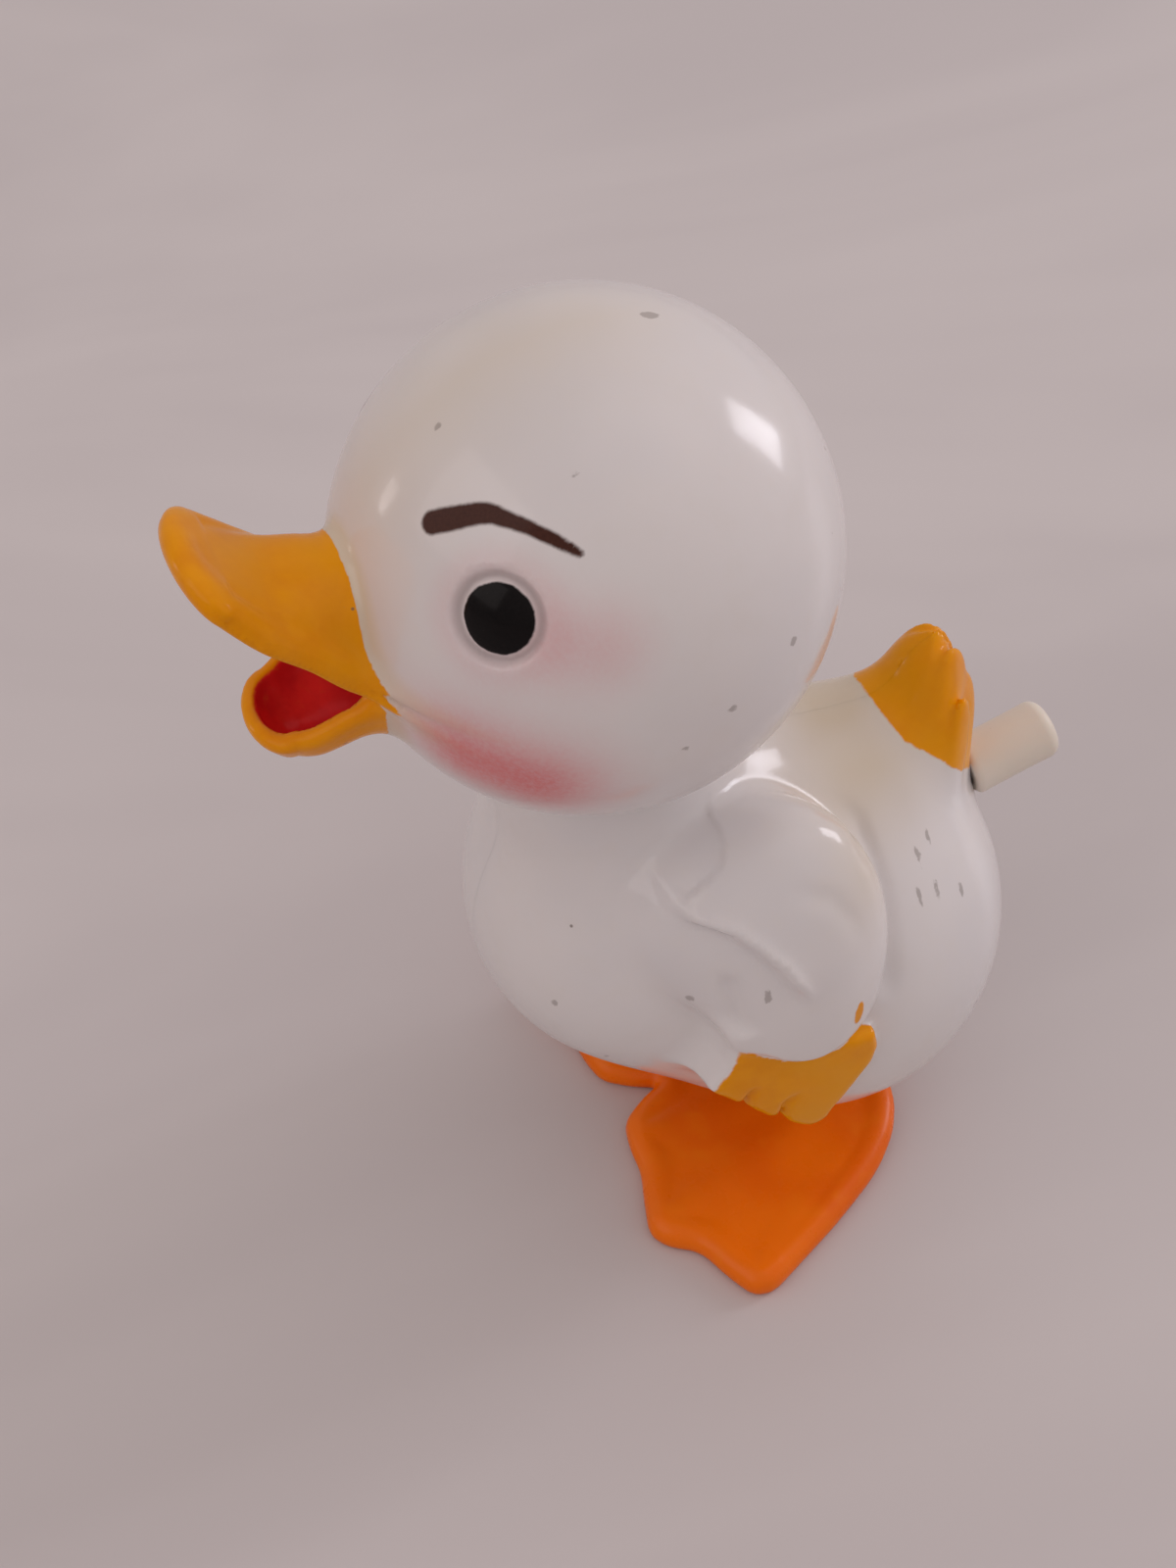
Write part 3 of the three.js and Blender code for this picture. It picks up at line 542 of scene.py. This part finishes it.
def solid_from(name, field, low, high, seam=0):
    """A closed mesh of the field's zero surface; seam is the side of a body half."""
    step = GRID * 1
    axes = [np.arange(low[k], high[k] + step, step) for k in range(3)]
    values = np.empty([len(a) for a in axes], np.float32)
    Y, Z = axes[1][None, :, None], axes[2][None, None, :]
    for i in range(0, len(axes[0]), BLOCK):
        X = axes[0][i:i + BLOCK][:, None, None]
        full = np.broadcast_arrays(X, Y, Z)
        values[i:i + BLOCK] = field([a.astype(float) for a in full])
    values = np.clip(values, -BAND, BAND)
    grid = openvdb.FloatGrid(BAND)
    grid.copyFromArray(values)
    points, quads = grid.convertToQuads(isovalue=0.0)
    co = settled(field, points.astype(float) * step + np.array([a[0] for a in axes]), step)
    if seam:
        crisp_seam(co, seam, step)
    a, b, c = co[quads[:, 0]], co[quads[:, 1]], co[quads[:, 2]]
    facing = np.cross(b - a, c - a)
    outward = gradient(field, (a + c) / 2)
    if (facing * outward).sum() < 0:
        quads = quads[:, ::-1]
    mesh = bpy.data.meshes.new(name)
    mesh.vertices.add(len(co))
    mesh.vertices.foreach_set("co", (co * MM).astype(np.float32).ravel())
    mesh.loops.add(quads.size)
    mesh.loops.foreach_set("vertex_index", np.ascontiguousarray(quads).astype(np.int32).ravel())
    mesh.polygons.add(len(quads))
    mesh.polygons.foreach_set("loop_start", np.arange(0, quads.size, 4, dtype=np.int32))
    mesh.update(calc_edges=True)
    mesh.validate()
    mesh.polygons.foreach_set("use_smooth", np.ones(len(mesh.polygons), bool))
    if seam:
        mesh.set_sharp_from_angle(angle=CREASE_ANGLE)
    ob = bpy.data.objects.new(name, mesh)
    scene.collection.objects.link(ob)
    print(name, len(mesh.polygons), "quads")
    return ob


def points_of(ob):
    """The mesh's points in millimetres, as three rows."""
    co = np.empty(len(ob.data.vertices) * 3, np.float32)
    ob.data.vertices.foreach_get("co", co)
    return (co.reshape(-1, 3).astype(float) / MM).T


def mark(ob, name, values):
    """A value at each point, which a material reads by this name."""
    layer = ob.data.attributes.new(name, "FLOAT", "POINT")
    layer.data.foreach_set("value", np.asarray(values, np.float32))


# ---------------------------------------------------------------- where the paint lies

FACE_PITCH = math.radians(25)  # how far the face looks up
# azimuth and elevation in degrees, seen from the middle of the head
BROW = [(21.9, 13.4), (25.6, 16.8), (31, 21.4), (35.4, 22.8), (41.2, 23.9), (47, 24.4), (53.2, 24.4)]
BROW_WIDTH = ([0, 0.12, 0.33, 0.5, 0.66, 0.85, 1], [0.92, 0.95, 0.8, 0.64, 0.54, 0.5, 0.32])
BROW_SHIFT = (10, -3)  # the right brow was painted by hand a little farther back
CHEEK = [(50, -33), (57, -32), (66, -31.5)]
GLOW = [(60, 7), (65, 9)]
STAIN = [(-4, 12), (-8, 39), (-18, 59)]
HEAD_MARKS = [
    ((4.6, 79), 0.7), ((7.6, 27.6), 0.3), ((99.5, 2.3), 0.32), ((112, 16.6), 0.32),
    ((93.2, -8.7), 0.26), ((43.8, 36.8), 0.3), ((-60, 30), 0.4), ((150, 50), 0.3)]
PUPIL_R = 2.8
BILL_PAINT_FROM = 0.55  # how far off the skull the yellow starts
BILL_FROM, MOUTH_FROM = -20, -25  # y in front of which paint belongs to the bill and to the mouth
# y, z and size of the rubbed marks on the body's left side
RUBS = [
    (19.4, 42.1, 0.3), (20.3, 39.7, 0.34), (18.1, 40.0, 0.3), (23.3, 37.9, 0.24), (21.2, 42.4, 0.22),
    (-0.9, 41.8, 0.42), (-6.6, 39.9, 0.32), (-16.5, 35.2, 0.24), (25, 24, 0.3), (-12, 27, 0.25)]
DAB = ((23.2, 8.3, 36.1), (4, 0.5, 1.5))  # a stray drop of yellow on the left wing
FAR = 5.0  # a paint field's value where there is none of it


def head_direction(azimuth, elevation):
    """A direction from the middle of the head, in the face's own frame."""
    a, e, p = math.radians(azimuth), math.radians(elevation), FACE_PITCH
    forward = np.array([0, -math.cos(p), math.sin(p)])
    up = np.array([0, math.sin(p), math.cos(p)])
    left = np.array([1.0, 0, 0])
    return forward * math.cos(e) * math.cos(a) + left * math.cos(e) * math.sin(a) + up * math.sin(e)


def skin_points(directions, count=40):
    """A smooth line on the head's skin through the given directions, and how far along each point is."""
    d = np.array([head_direction(*row) for row in directions])
    t = np.linspace(0, len(d) - 1, count)
    out = np.stack([Rail.spline(d[:, k], t) for k in range(3)], 1)
    out /= np.linalg.norm(out, axis=1)[:, None]
    return HEAD + HEAD_R * out * (1, 1, STRETCH), t / (len(d) - 1)


def distance_to(P, line):
    """Distance to a line of points, the same on both sides of the head, and which point is nearest."""
    m = np.stack([np.abs(P[0]), P[1], P[2]], 1)
    best = np.full(len(m), 1e9)
    which = np.zeros(len(m), int)
    for i, q in enumerate(line):
        d = ((m - q) ** 2).sum(1)
        near = d < best
        best = np.where(near, d, best)
        which = np.where(near, i, which)
    return np.sqrt(best), which


def spots(P, marks):
    """Signed distance to small marks on the head."""
    best = np.full(P.shape[1], 1e9)
    for (azimuth, elevation), r in marks:
        q = HEAD + HEAD_R * head_direction(azimuth, elevation) * (1, 1, STRETCH)
        d = np.sqrt(((P[0] - q[0]) / 0.7) ** 2 + ((P[1] - q[1]) / 1.2) ** 2 + (P[2] - q[2]) ** 2)
        best = np.minimum(best, d - r)
    return best


def paint_head(ob):
    P = points_of(ob)
    rho = egg(P, HEAD_R)
    bill = np.minimum(upper_bill(P), lower_bill(P))
    on_bill = P[1] < BILL_FROM
    # yellow where the bill stands clear of the skull, red inside the mouth
    mark(ob, "yellow", np.where(on_bill, BILL_PAINT_FROM - rho, 4) + np.maximum(bill - 0.5, 0) * 2)
    mark(ob, "red", np.where(P[1] < MOUTH_FROM, mouth_hollow(P) - 0.16, 3))
    from_eye = eye_distance(P)
    mark(ob, "pupil", from_eye - PUPIL_R)
    line, t = skin_points(BROW)
    turn, lift = BROW_SHIFT
    other, _ = skin_points([(azimuth + turn, elevation + lift) for azimuth, elevation in BROW])
    left, which = distance_to(P, line)
    right, _ = distance_to(P, other)
    width = np.interp(t, *BROW_WIDTH)
    mark(ob, "brow", np.where(P[0] > 0, left, right) - width[which])
    to_cheek, _ = distance_to(P, skin_points(CHEEK, 12)[0])
    to_glow, _ = distance_to(P, skin_points(GLOW, 6)[0])
    blush = 1.0 * bell(to_cheek, 5.5) + 0.30 * bell(to_glow, 3.7)
    blush += 0.17 * bell(from_eye - 4.0, 1.7)
    mark(ob, "blush", blush)
    to_stain, _ = distance_to(P, skin_points(STAIN, 14)[0])
    near_bill = np.where(on_bill, bill, 9)
    fringe = bell(rho - 0.35, 0.8) * step_up(2.6 - near_bill, 0, 1.6)
    mark(ob, "aged_and_shade", 0.8 * bell(to_stain, 8.5) + 1.6 * fringe)
    mark(ob, "speck", spots(P, HEAD_MARKS))


def paint_body(ob):
    P = points_of(ob)
    wing = np.maximum(wing_fan(P) - 0.25, 0.45 - body_outside(P))
    front, side, _ = polyline(P, BARE)
    wing = np.maximum(wing, front * side)
    lobes = np.minimum(ell(P, *TAIL), ell(P, *TAIL_REAR))
    edge, side, _ = polyline(P, TAIL_PAINT)
    tail = np.maximum(np.where(P[1] > 16, lobes - 1.9, 5), -edge * side)
    dab = np.where(P[0] > 0, ell(mirrored(P), *DAB), FAR)
    mark(ob, "yellow", np.minimum(np.minimum(wing, tail), dab))
    # the body turns darker and yellower towards the bottom
    low = step_up(P[2], 30, 8)
    # painted shade: the top of the back before the tail is tinted warm brown where the head shades it
    back = bell(P[1] - 17, 8) * step_up(P[2], 41, 51)
    mark(ob, "aged_and_shade", 0.35 * low + 1.9 * back)
    rub = np.full(P.shape[1], 1e9)
    for y, z, r in RUBS:
        rub = np.minimum(rub, np.sqrt(((P[1] - y) / 0.8) ** 2 + ((P[2] - z) / 1.9) ** 2) - r)
    mark(ob, "speck", np.where(P[0] > 0, rub, 3))
    zero = np.zeros(P.shape[1])
    mark(ob, "blush", zero)
    for name in ("red", "pupil", "brow"):
        mark(ob, name, zero + FAR)


# ---------------------------------------------------------------- materials


class Nodes:
    """Small helper that adds shader nodes and links them."""

    def __init__(self, name):
        self.material = bpy.data.materials.new(name)
        self.material.use_nodes = True
        self.tree = self.material.node_tree
        self.tree.nodes.clear()
        self.out = self.tree.nodes.new("ShaderNodeOutputMaterial")
        self.shader = self.tree.nodes.new("ShaderNodeBsdfPrincipled")
        self.tree.links.new(self.shader.outputs[0], self.out.inputs[0])
        self.space = self.tree.nodes.new("ShaderNodeTexCoord").outputs["Object"]

    def put(self, socket, value):
        """A link where the value is another node's output, else a plain value."""
        if hasattr(value, "is_output"):
            self.tree.links.new(value, socket)
        else:
            socket.default_value = value

    def attribute(self, name):
        node = self.tree.nodes.new("ShaderNodeAttribute")
        node.attribute_name = name
        return node.outputs["Fac"]

    def math(self, kind, a, b=0.0, c=0.0):
        node = self.tree.nodes.new("ShaderNodeMath")
        node.operation = kind
        for socket, value in zip(node.inputs, (a, b, c)):
            self.put(socket, value)
        return node.outputs[0]

    def ramp(self, value, low, high, start=0.0, end=1.0, smooth=True):
        """The value's span from low to high, mapped to start and end."""
        node = self.tree.nodes.new("ShaderNodeMapRange")
        node.interpolation_type = "SMOOTHSTEP" if smooth else "LINEAR"
        for socket, given in zip(node.inputs, (value, low, high, start, end)):
            self.put(socket, given)
        return node.outputs[0]

    def noise(self, scale, detail=3.0, rough=0.55, stretch=None, warp=0.0):
        """Noise whose scale is in waves per millimetre."""
        node = self.tree.nodes.new("ShaderNodeTexNoise")
        vector = self.space
        if stretch:
            mapping = self.tree.nodes.new("ShaderNodeMapping")
            mapping.inputs["Scale"].default_value = stretch
            self.tree.links.new(vector, mapping.inputs[0])
            vector = mapping.outputs[0]
        self.tree.links.new(vector, node.inputs["Vector"])
        node.inputs["Scale"].default_value = scale / MM
        node.inputs["Detail"].default_value = detail
        node.inputs["Roughness"].default_value = rough
        node.inputs["Distortion"].default_value = warp
        return node.outputs["Fac"]

    def cells(self, scale):
        node = self.tree.nodes.new("ShaderNodeTexVoronoi")
        self.tree.links.new(self.space, node.inputs["Vector"])
        node.inputs["Scale"].default_value = scale / MM
        return node.outputs["Distance"]

    def mix(self, factor, a, b):
        node = self.tree.nodes.new("ShaderNodeMix")
        node.data_type = "RGBA"
        self.put(node.inputs[0], factor)
        for socket, value in ((node.inputs[6], a), (node.inputs[7], b)):
            if isinstance(value, tuple) and len(value) == 3:
                value = (*value, 1.0)
            self.put(socket, value)
        return node.outputs[2]

    def blend(self, factor, a, b):
        node = self.tree.nodes.new("ShaderNodeMix")
        node.data_type = "FLOAT"
        self.put(node.inputs[0], factor)
        self.put(node.inputs[2], a)
        self.put(node.inputs[3], b)
        return node.outputs[0]

    def bump(self, height, strength, distance, under=None):
        node = self.tree.nodes.new("ShaderNodeBump")
        node.inputs["Strength"].default_value = strength
        node.inputs["Distance"].default_value = distance * MM
        self.tree.links.new(height, node.inputs["Height"])
        if under is not None:
            self.tree.links.new(under, node.inputs["Normal"])
        return node.outputs[0]


# pairs of tones are mottled into each other
WHITE = ((0.78, 0.745, 0.735), (0.73, 0.705, 0.71))
WARM_WHITE = (0.75, 0.71, 0.68)
# yellowing on the head, also used as painted shade on the back before the tail
YELLOWED_AND_SHADE = (0.70, 0.60, 0.45)
BLUSH = (0.72, 0.16, 0.17)
YELLOW = ((0.87, 0.335, 0.0012), (0.81, 0.285, 0.001))
LIGHT_YELLOW = (0.88, 0.37, 0.0015)
RED = ((0.84, 0.03, 0.032), (0.66, 0.018, 0.024))
# painted shade for the hollow around each pupil
PUPIL_RING_SHADE = (0.22, 0.17, 0.16)
BROWN = ((0.045, 0.017, 0.012), (0.085, 0.03, 0.02))
BLACK = ((0.003, 0.0024, 0.0026), (0.009, 0.007, 0.007))
DUST = (0.16, 0.12, 0.10)
GRIME = (0.42, 0.36, 0.31)
# each plastic's light, dark and worn tones, each metal's light and dark tones
ORANGE = ((0.92, 0.175, 0.001), (0.84, 0.135, 0.001), (0.92, 0.215, 0.002))
IVORY = ((0.87, 0.80, 0.71), (0.80, 0.73, 0.63), (0.84, 0.76, 0.64))
STEEL = ((0.62, 0.63, 0.65), (0.42, 0.43, 0.45))
BLUED_STEEL = ((0.22, 0.25, 0.33), (0.13, 0.15, 0.21))
BRASS = ((0.78, 0.58, 0.24), (0.58, 0.41, 0.15))
FLOOR = ((0.585, 0.545, 0.545), (0.65, 0.61, 0.605))


def painted_white(name):
    """Aged glossy white plastic under sprayed and brushed paint, with painted shade on the back before the
    tail and around each pupil.
    """
    n = Nodes(name)
    cloud = n.noise(0.05, 2)
    mottle = n.noise(0.32, 4)
    wobble = n.noise(0.9, 3, warp=0.4)
    fine = n.noise(4.5, 2)
    grit = n.noise(2.2, 4, 0.7)
    drift = n.math("SUBTRACT", wobble, 0.5)
    base = n.mix(n.ramp(cloud, 0.35, 0.7), *WHITE)
    base = n.mix(n.ramp(mottle, 0.45, 0.8, 0, 0.35), base, WARM_WHITE)
    # yellowing on the head, and painted shade on the back before the tail, mixed in as one warm tint
    aged_and_shade = n.math("MULTIPLY", n.attribute("aged_and_shade"), n.ramp(cloud, 0.25, 0.6, 0.45, 1.0))
    base = n.mix(n.ramp(aged_and_shade, 0.0, 1.5, 0, 0.9, False), base, YELLOWED_AND_SHADE)
    # sprayed blush, thin at its edge
    spray = n.math("MULTIPLY", n.attribute("blush"), n.ramp(grit, 0.2, 0.75, 0.8, 1.08))
    base = n.mix(n.ramp(spray, 0.02, 1.0, 0, 0.9, False), base, BLUSH)

    def edge(attribute, soft, wander):
        """1 on the paint and 0 off it, with a soft edge that wanders a little."""
        field = n.math("MULTIPLY_ADD", drift, wander, n.attribute(attribute))
        return n.ramp(field, -soft, soft, 1.0, 0.0)

    yellow = edge("yellow", 0.12, 0.5)
    thin = n.ramp(n.noise(0.3, 2), 0.3, 0.7, 1.0, 0.992)
    yellow_tone = n.mix(n.ramp(mottle, 0.3, 0.7), *YELLOW)
    yellow_tone = n.mix(n.ramp(n.noise(0.16, 2), 0.4, 0.7, 0, 0.6), yellow_tone, LIGHT_YELLOW)
    red = edge("red", 0.14, 0.3)
    red_tone = n.mix(n.ramp(mottle, 0.3, 0.75), *RED)
    pupil = edge("pupil", 0.10, 0.32)
    brow = edge("brow", 0.18, 0.2)
    colour = n.mix(n.math("MULTIPLY", yellow, thin), base, yellow_tone)
    colour = n.mix(red, colour, red_tone)
    # painted shade: a dark ring in the hollow around the pupil
    rise = n.ramp(n.attribute("pupil"), -0.1, 0.5)
    fall = n.ramp(n.attribute("pupil"), 0.55, 1.15, 1, 0)
    pupil_ring_shade = n.math("MULTIPLY", rise, fall)
    colour = n.mix(n.math("MULTIPLY", pupil_ring_shade, 0.4), colour, PUPIL_RING_SHADE)
    colour = n.mix(brow, colour, n.mix(fine, *BROWN))
    colour = n.mix(pupil, colour, n.mix(fine, *BLACK))
    # dust specks and rubbed dirt
    speck = n.ramp(n.cells(0.28), 0.03, 0.055, 1.0, 0.0)
    speck = n.math("MULTIPLY", speck, n.ramp(n.noise(0.09, 2), 0.5, 0.58))
    scuff = n.ramp(n.math("MULTIPLY_ADD", drift, 0.8, n.attribute("speck")), -0.08, 0.1, 0.62, 0.0)
    speck = n.math("MAXIMUM", speck, scuff)
    rub = n.noise(0.8, 5, 0.75, stretch=(0.5, 1.0, 1.6), warp=0.8)
    rub = n.math("MULTIPLY", n.ramp(rub, 0.68, 0.76), n.ramp(cloud, 0.46, 0.6))
    colour = n.mix(n.math("MULTIPLY", speck, 0.75), colour, DUST)
    colour = n.mix(n.math("MULTIPLY", rub, 0.35), colour, GRIME)
    n.put(n.shader.inputs["Base Color"], colour)
    paint = n.math("MAXIMUM", n.math("MAXIMUM", yellow, red), n.math("MAXIMUM", pupil, brow))
    gloss = n.ramp(mottle, 0.3, 0.75, 0.11, 0.24)
    gloss = n.blend(paint, gloss, n.ramp(mottle, 0.3, 0.7, 0.12, 0.22))
    gloss = n.math("MULTIPLY_ADD", rub, 0.25, gloss)
    n.put(n.shader.inputs["Roughness"], gloss)
    n.shader.inputs["IOR"].default_value = 1.5
    n.put(n.shader.inputs["Specular IOR Level"], n.blend(paint, 0.32, 0.09))
    n.put(n.shader.inputs["Coat Weight"], n.blend(paint, 0.14, 0.05))
    n.shader.inputs["Coat Roughness"].default_value = 0.06
    n.shader.inputs["Subsurface Weight"].default_value = 0.12
    n.shader.inputs["Subsurface Radius"].default_value = (1.0, 0.8, 0.7)
    n.shader.inputs["Subsurface Scale"].default_value = 0.0016
    ripple = n.bump(n.noise(0.22, 2), 0.35, 0.10)
    peel = n.bump(fine, 0.10, 0.02, ripple)
    film = n.bump(n.math("MULTIPLY", paint, n.ramp(mottle, 0.2, 0.8, 0.7, 1.0)), 0.5, 0.05, peel)
    n.put(n.shader.inputs["Normal"], film)
    return n.material


def moulded(name, light, dark, worn, low, high):
    """Plastic coloured all through, with its roughness between low and high."""
    n = Nodes(name)
    mottle = n.noise(0.3, 4)
    cloud = n.noise(0.07, 2)
    fine = n.noise(4.0, 3)
    colour = n.mix(n.ramp(cloud, 0.35, 0.65), dark, light)
    colour = n.mix(n.ramp(mottle, 0.5, 0.8, 0, 0.5), colour, worn)
    dirt = n.ramp(n.noise(1.1, 5, 0.75), 0.66, 0.78, 0, 0.4)
    colour = n.mix(dirt, colour, tuple(0.4 * k for k in dark))
    n.put(n.shader.inputs["Base Color"], colour)
    n.put(n.shader.inputs["Roughness"], n.ramp(mottle, 0.3, 0.75, low, high))
    n.shader.inputs["IOR"].default_value = 1.5
    n.shader.inputs["Specular IOR Level"].default_value = 0.2
    n.shader.inputs["Subsurface Weight"].default_value = 0.06
    n.shader.inputs["Subsurface Radius"].default_value = (1.0, 0.4, 0.2)
    n.shader.inputs["Subsurface Scale"].default_value = 0.0012
    ripple = n.bump(n.noise(0.25, 2), 0.4, 0.1)
    n.put(n.shader.inputs["Normal"], n.bump(fine, 0.06, 0.03, ripple))
    return n.material


def metal(name, light, dark, low, high, stretch):
    """Brushed and stained metal, with its roughness between low and high."""
    n = Nodes(name)
    brushed = n.noise(1.4, 4, 0.6, stretch=stretch)
    stain = n.noise(0.25, 4, 0.65)
    colour = n.mix(n.ramp(brushed, 0.3, 0.7), dark, light)
    colour = n.mix(n.ramp(stain, 0.58, 0.8, 0, 0.5), colour, tuple(0.45 * k for k in dark))
    n.put(n.shader.inputs["Base Color"], colour)
    n.shader.inputs["Metallic"].default_value = 1.0
    n.put(n.shader.inputs["Roughness"], n.ramp(stain, 0.3, 0.8, low, high))
    n.put(n.shader.inputs["Normal"], n.bump(brushed, 0.25, 0.03))
    return n.material


white = painted_white("aged_white_plastic")
orange = moulded("orange_plastic", *ORANGE, low=0.24, high=0.4)
pale = moulded("knob_plastic", *IVORY, low=0.3, high=0.45)
steel = metal("stamped_steel", *STEEL, low=0.25, high=0.5, stretch=(0.3, 1, 3))
blued = metal("spring_steel_strip", *BLUED_STEEL, low=0.2, high=0.4, stretch=(3, 0.4, 1))
brass = metal("stamped_brass", *BRASS, low=0.22, high=0.42, stretch=(1, 1, 1))

# ---------------------------------------------------------------- pieces


def finish_piece(ob, material, body, node):
    """The piece rides on a body, takes the place of a CAD node and fills a material slot."""
    ob.data.materials.append(material)
    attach(ob, body)
    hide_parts(node)


head = solid_from("head", head_shell, low=(-22, -44, 54.5), high=(22, 13.2, 99))
paint_head(head)
finish_piece(head, white, "body", "head_shell")

FLANK, OVERLAP = 26.4, 0.6  # how far each half's grid reaches from the middle plane and past it
for label, side in (("left", 1), ("right", -1)):
    low = (-OVERLAP if side > 0 else -FLANK, -22.5, 8)
    high = (FLANK if side > 0 else OVERLAP, 36.2, 62)
    half = solid_from(f"body_{label}", lambda P, s=side: body_half(P, s), low, high, seam=side)
    paint_body(half)
    finish_piece(half, white, "body", f"body_shell_{label}")

feet = solid_from("webbed_feet", feet_form, low=(-28.4, -9.4, -0.6), high=(28.4, 24.6, 17.8))
finish_piece(feet, orange, "feet", "feet")


def turned(name, profile, sides=72):
    """A closed turned piece along the arbor, from (distance along, radius) pairs."""
    bm = bmesh.new()
    rings = []
    for y, r in profile:
        if r <= 0:
            rings.append([bm.verts.new((0, y, 0))])
            continue
        ring = []
        for i in range(sides):
            a = 2 * math.pi * i / sides
            ring.append(bm.verts.new((r * math.cos(a), y, r * math.sin(a))))
        rings.append(ring)
    for a, b in zip(rings, rings[1:]):
        for i in range(sides):
            j = (i + 1) % sides
            corners = [a[i % len(a)], a[j % len(a)], b[j % len(b)], b[i % len(b)]]
            face = list(dict.fromkeys(corners))
            if len(face) > 2:
                bm.faces.new(face)
    bmesh.ops.recalc_face_normals(bm, faces=bm.faces)
    place = Matrix.Translation(MOTOR) @ Matrix.Rotation(TILT, 4, "X")
    bm.transform(Matrix.Scale(MM, 4) @ place)
    mesh = bpy.data.meshes.new(name)
    bm.to_mesh(mesh)
    bm.free()
    mesh.polygons.foreach_set("use_smooth", np.ones(len(mesh.polygons), bool))
    ob = bpy.data.objects.new(name, mesh)
    scene.collection.objects.link(ob)
    return ob


def round_corner(y, r, size, steps, outward):
    """Points of a quarter circle about (y, r): from a face out to the side, or from the side to a face."""
    turns = [math.pi / 2 * i / steps for i in range(steps + 1)]
    if outward:
        return [(y - size * math.cos(a), r + size * math.sin(a)) for a in turns]
    return [(y + size * math.sin(a), r + size * math.cos(a)) for a in turns]


def knob_profile():
    """The knob's blind bore, its mouth, a faintly waisted side and a well rounded end."""
    start, end, radius = KNOB_START, KNOB_END, KNOB_R
    bore, near_round, far_round, waist = 4.8, 0.7, 1.3, 0.05
    profile = [(start + bore, 0), (start + bore, KNOB_BORE_R), (start + 0.02, KNOB_BORE_R)]
    profile += [(start, 1.3), (start, 2.1)]
    profile += round_corner(start + near_round, radius - near_round, near_round, 6, True)
    for y in np.linspace(start + 1.2, end - 1.7, 8):
        profile.append((float(y), radius - waist * math.sin(math.pi * (y - start) / (end - start))))
    profile += round_corner(end - far_round, radius - far_round, far_round, 8, False)
    return profile + [(end - 0.06, 0.9), (end - 0.12, 0)]


knob = turned("winding_knob_cap", knob_profile())
finish_piece(knob, pale, "winder", "winding_knob")

finishes = {"steel": steel, "spring_steel": blued, "brass": brass}
for part in frame["record"]["subparts"]:
    if part["material_slot"] in finishes:
        mesh = nodes[part["node"]].data
        if not mesh.materials:
            mesh.materials.append(None)
        for slot in nodes[part["node"]].material_slots:
            slot.material = finishes[part["material_slot"]]

# ---------------------------------------------------------------- floor, lights and camera


def plane(name, size, z):
    """A flat square sheet that reaches size metres from its middle."""
    bm = bmesh.new()
    bmesh.ops.create_grid(bm, x_segments=8, y_segments=8, size=size)
    mesh = bpy.data.meshes.new(name)
    bm.to_mesh(mesh)
    bm.free()
    ob = bpy.data.objects.new(name, mesh)
    ob.location.z = z
    scene.collection.objects.link(ob)
    return ob


def floor_material():
    """A pale matt sheet with broad, faint, drawn-out clouds."""
    n = Nodes("pale_floor")
    vein = n.noise(0.006, 4, 0.6, stretch=(1, 0.35, 1), warp=1.2)
    n.put(n.shader.inputs["Base Color"], n.mix(n.ramp(vein, 0.35, 0.68), *FLOOR))
    n.put(n.shader.inputs["Roughness"], n.ramp(vein, 0.3, 0.7, 0.32, 0.45))
    n.shader.inputs["Specular IOR Level"].default_value = 0.3
    return n.material


floor = plane("floor", 4.0, -0.00005)
floor.data.materials.append(floor_material())


def studio(brightest_way, dim, bright, tint):
    """Surroundings that grow from dim to bright towards one direction."""
    world = bpy.data.worlds.new("studio")
    scene.world = world
    world.use_nodes = True
    sky = world.node_tree
    where = sky.nodes.new("ShaderNodeTexCoord")
    lean = sky.nodes.new("ShaderNodeVectorMath")
    lean.operation = "DOT_PRODUCT"
    lean.inputs[1].default_value = brightest_way
    sky.links.new(where.outputs["Generated"], lean.inputs[0])
    fade = sky.nodes.new("ShaderNodeMapRange")
    fade.interpolation_type = "SMOOTHSTEP"
    for socket, value in zip(fade.inputs[1:], (-0.5, 1.0, dim, bright)):
        socket.default_value = value
    sky.links.new(lean.outputs["Value"], fade.inputs[0])
    sky.links.new(fade.outputs[0], sky.nodes["Background"].inputs[1])
    sky.nodes["Background"].inputs[0].default_value = (*tint, 1)


studio((0.12, 0.62, 0.77), dim=0.36, bright=0.66, tint=(1.0, 0.895, 0.885))


def lamp(name, direction, distance, width, height, power, colour):
    """A rectangular lamp that looks at the toy from a direction."""
    data = bpy.data.lights.new(name, "AREA")
    data.shape = "RECTANGLE"
    data.size = width
    data.size_y = height
    data.energy = power
    data.color = colour
    ob = bpy.data.objects.new(name, data)
    target = Vector((0, 0, 0.05))
    way = Vector(direction).normalized()
    ob.location = target + way * distance
    ob.rotation_euler = (-way).to_track_quat("-Z", "Y").to_euler()
    scene.collection.objects.link(ob)


WARM, COOL = (1.0, 0.905, 0.89), (0.93, 0.90, 0.97)
lamp("key_window", (-0.095, 0.941, 0.36), distance=1.2, width=0.28, height=0.46, power=2.8, colour=COOL)
lamp("high_soft", (0.25, 0.35, 1.0), distance=1.6, width=1.3, height=1.3, power=1.2, colour=WARM)
lamp("front_soft", (0.1, -0.95, 0.6), distance=1.4, width=1.2, height=0.9, power=3.3, colour=WARM)
lamp("low_window", (-0.588, -0.801, 0.13), distance=1.2, width=0.12, height=0.2, power=0.25, colour=WARM)

camera = bpy.data.cameras.new("camera")
camera.lens = 47.25
camera.sensor_width = 36
camera.clip_start = 0.005
eye = bpy.data.objects.new("camera", camera)
eye.location = (0.12307, -0.05938, 0.182)
look = Vector((-0.65717, 0.27086, -0.70339))
eye.rotation_euler = look.to_track_quat("-Z", "Y").to_euler()
scene.collection.objects.link(eye)
scene.camera = eye
scene.view_settings.view_transform = "Standard"
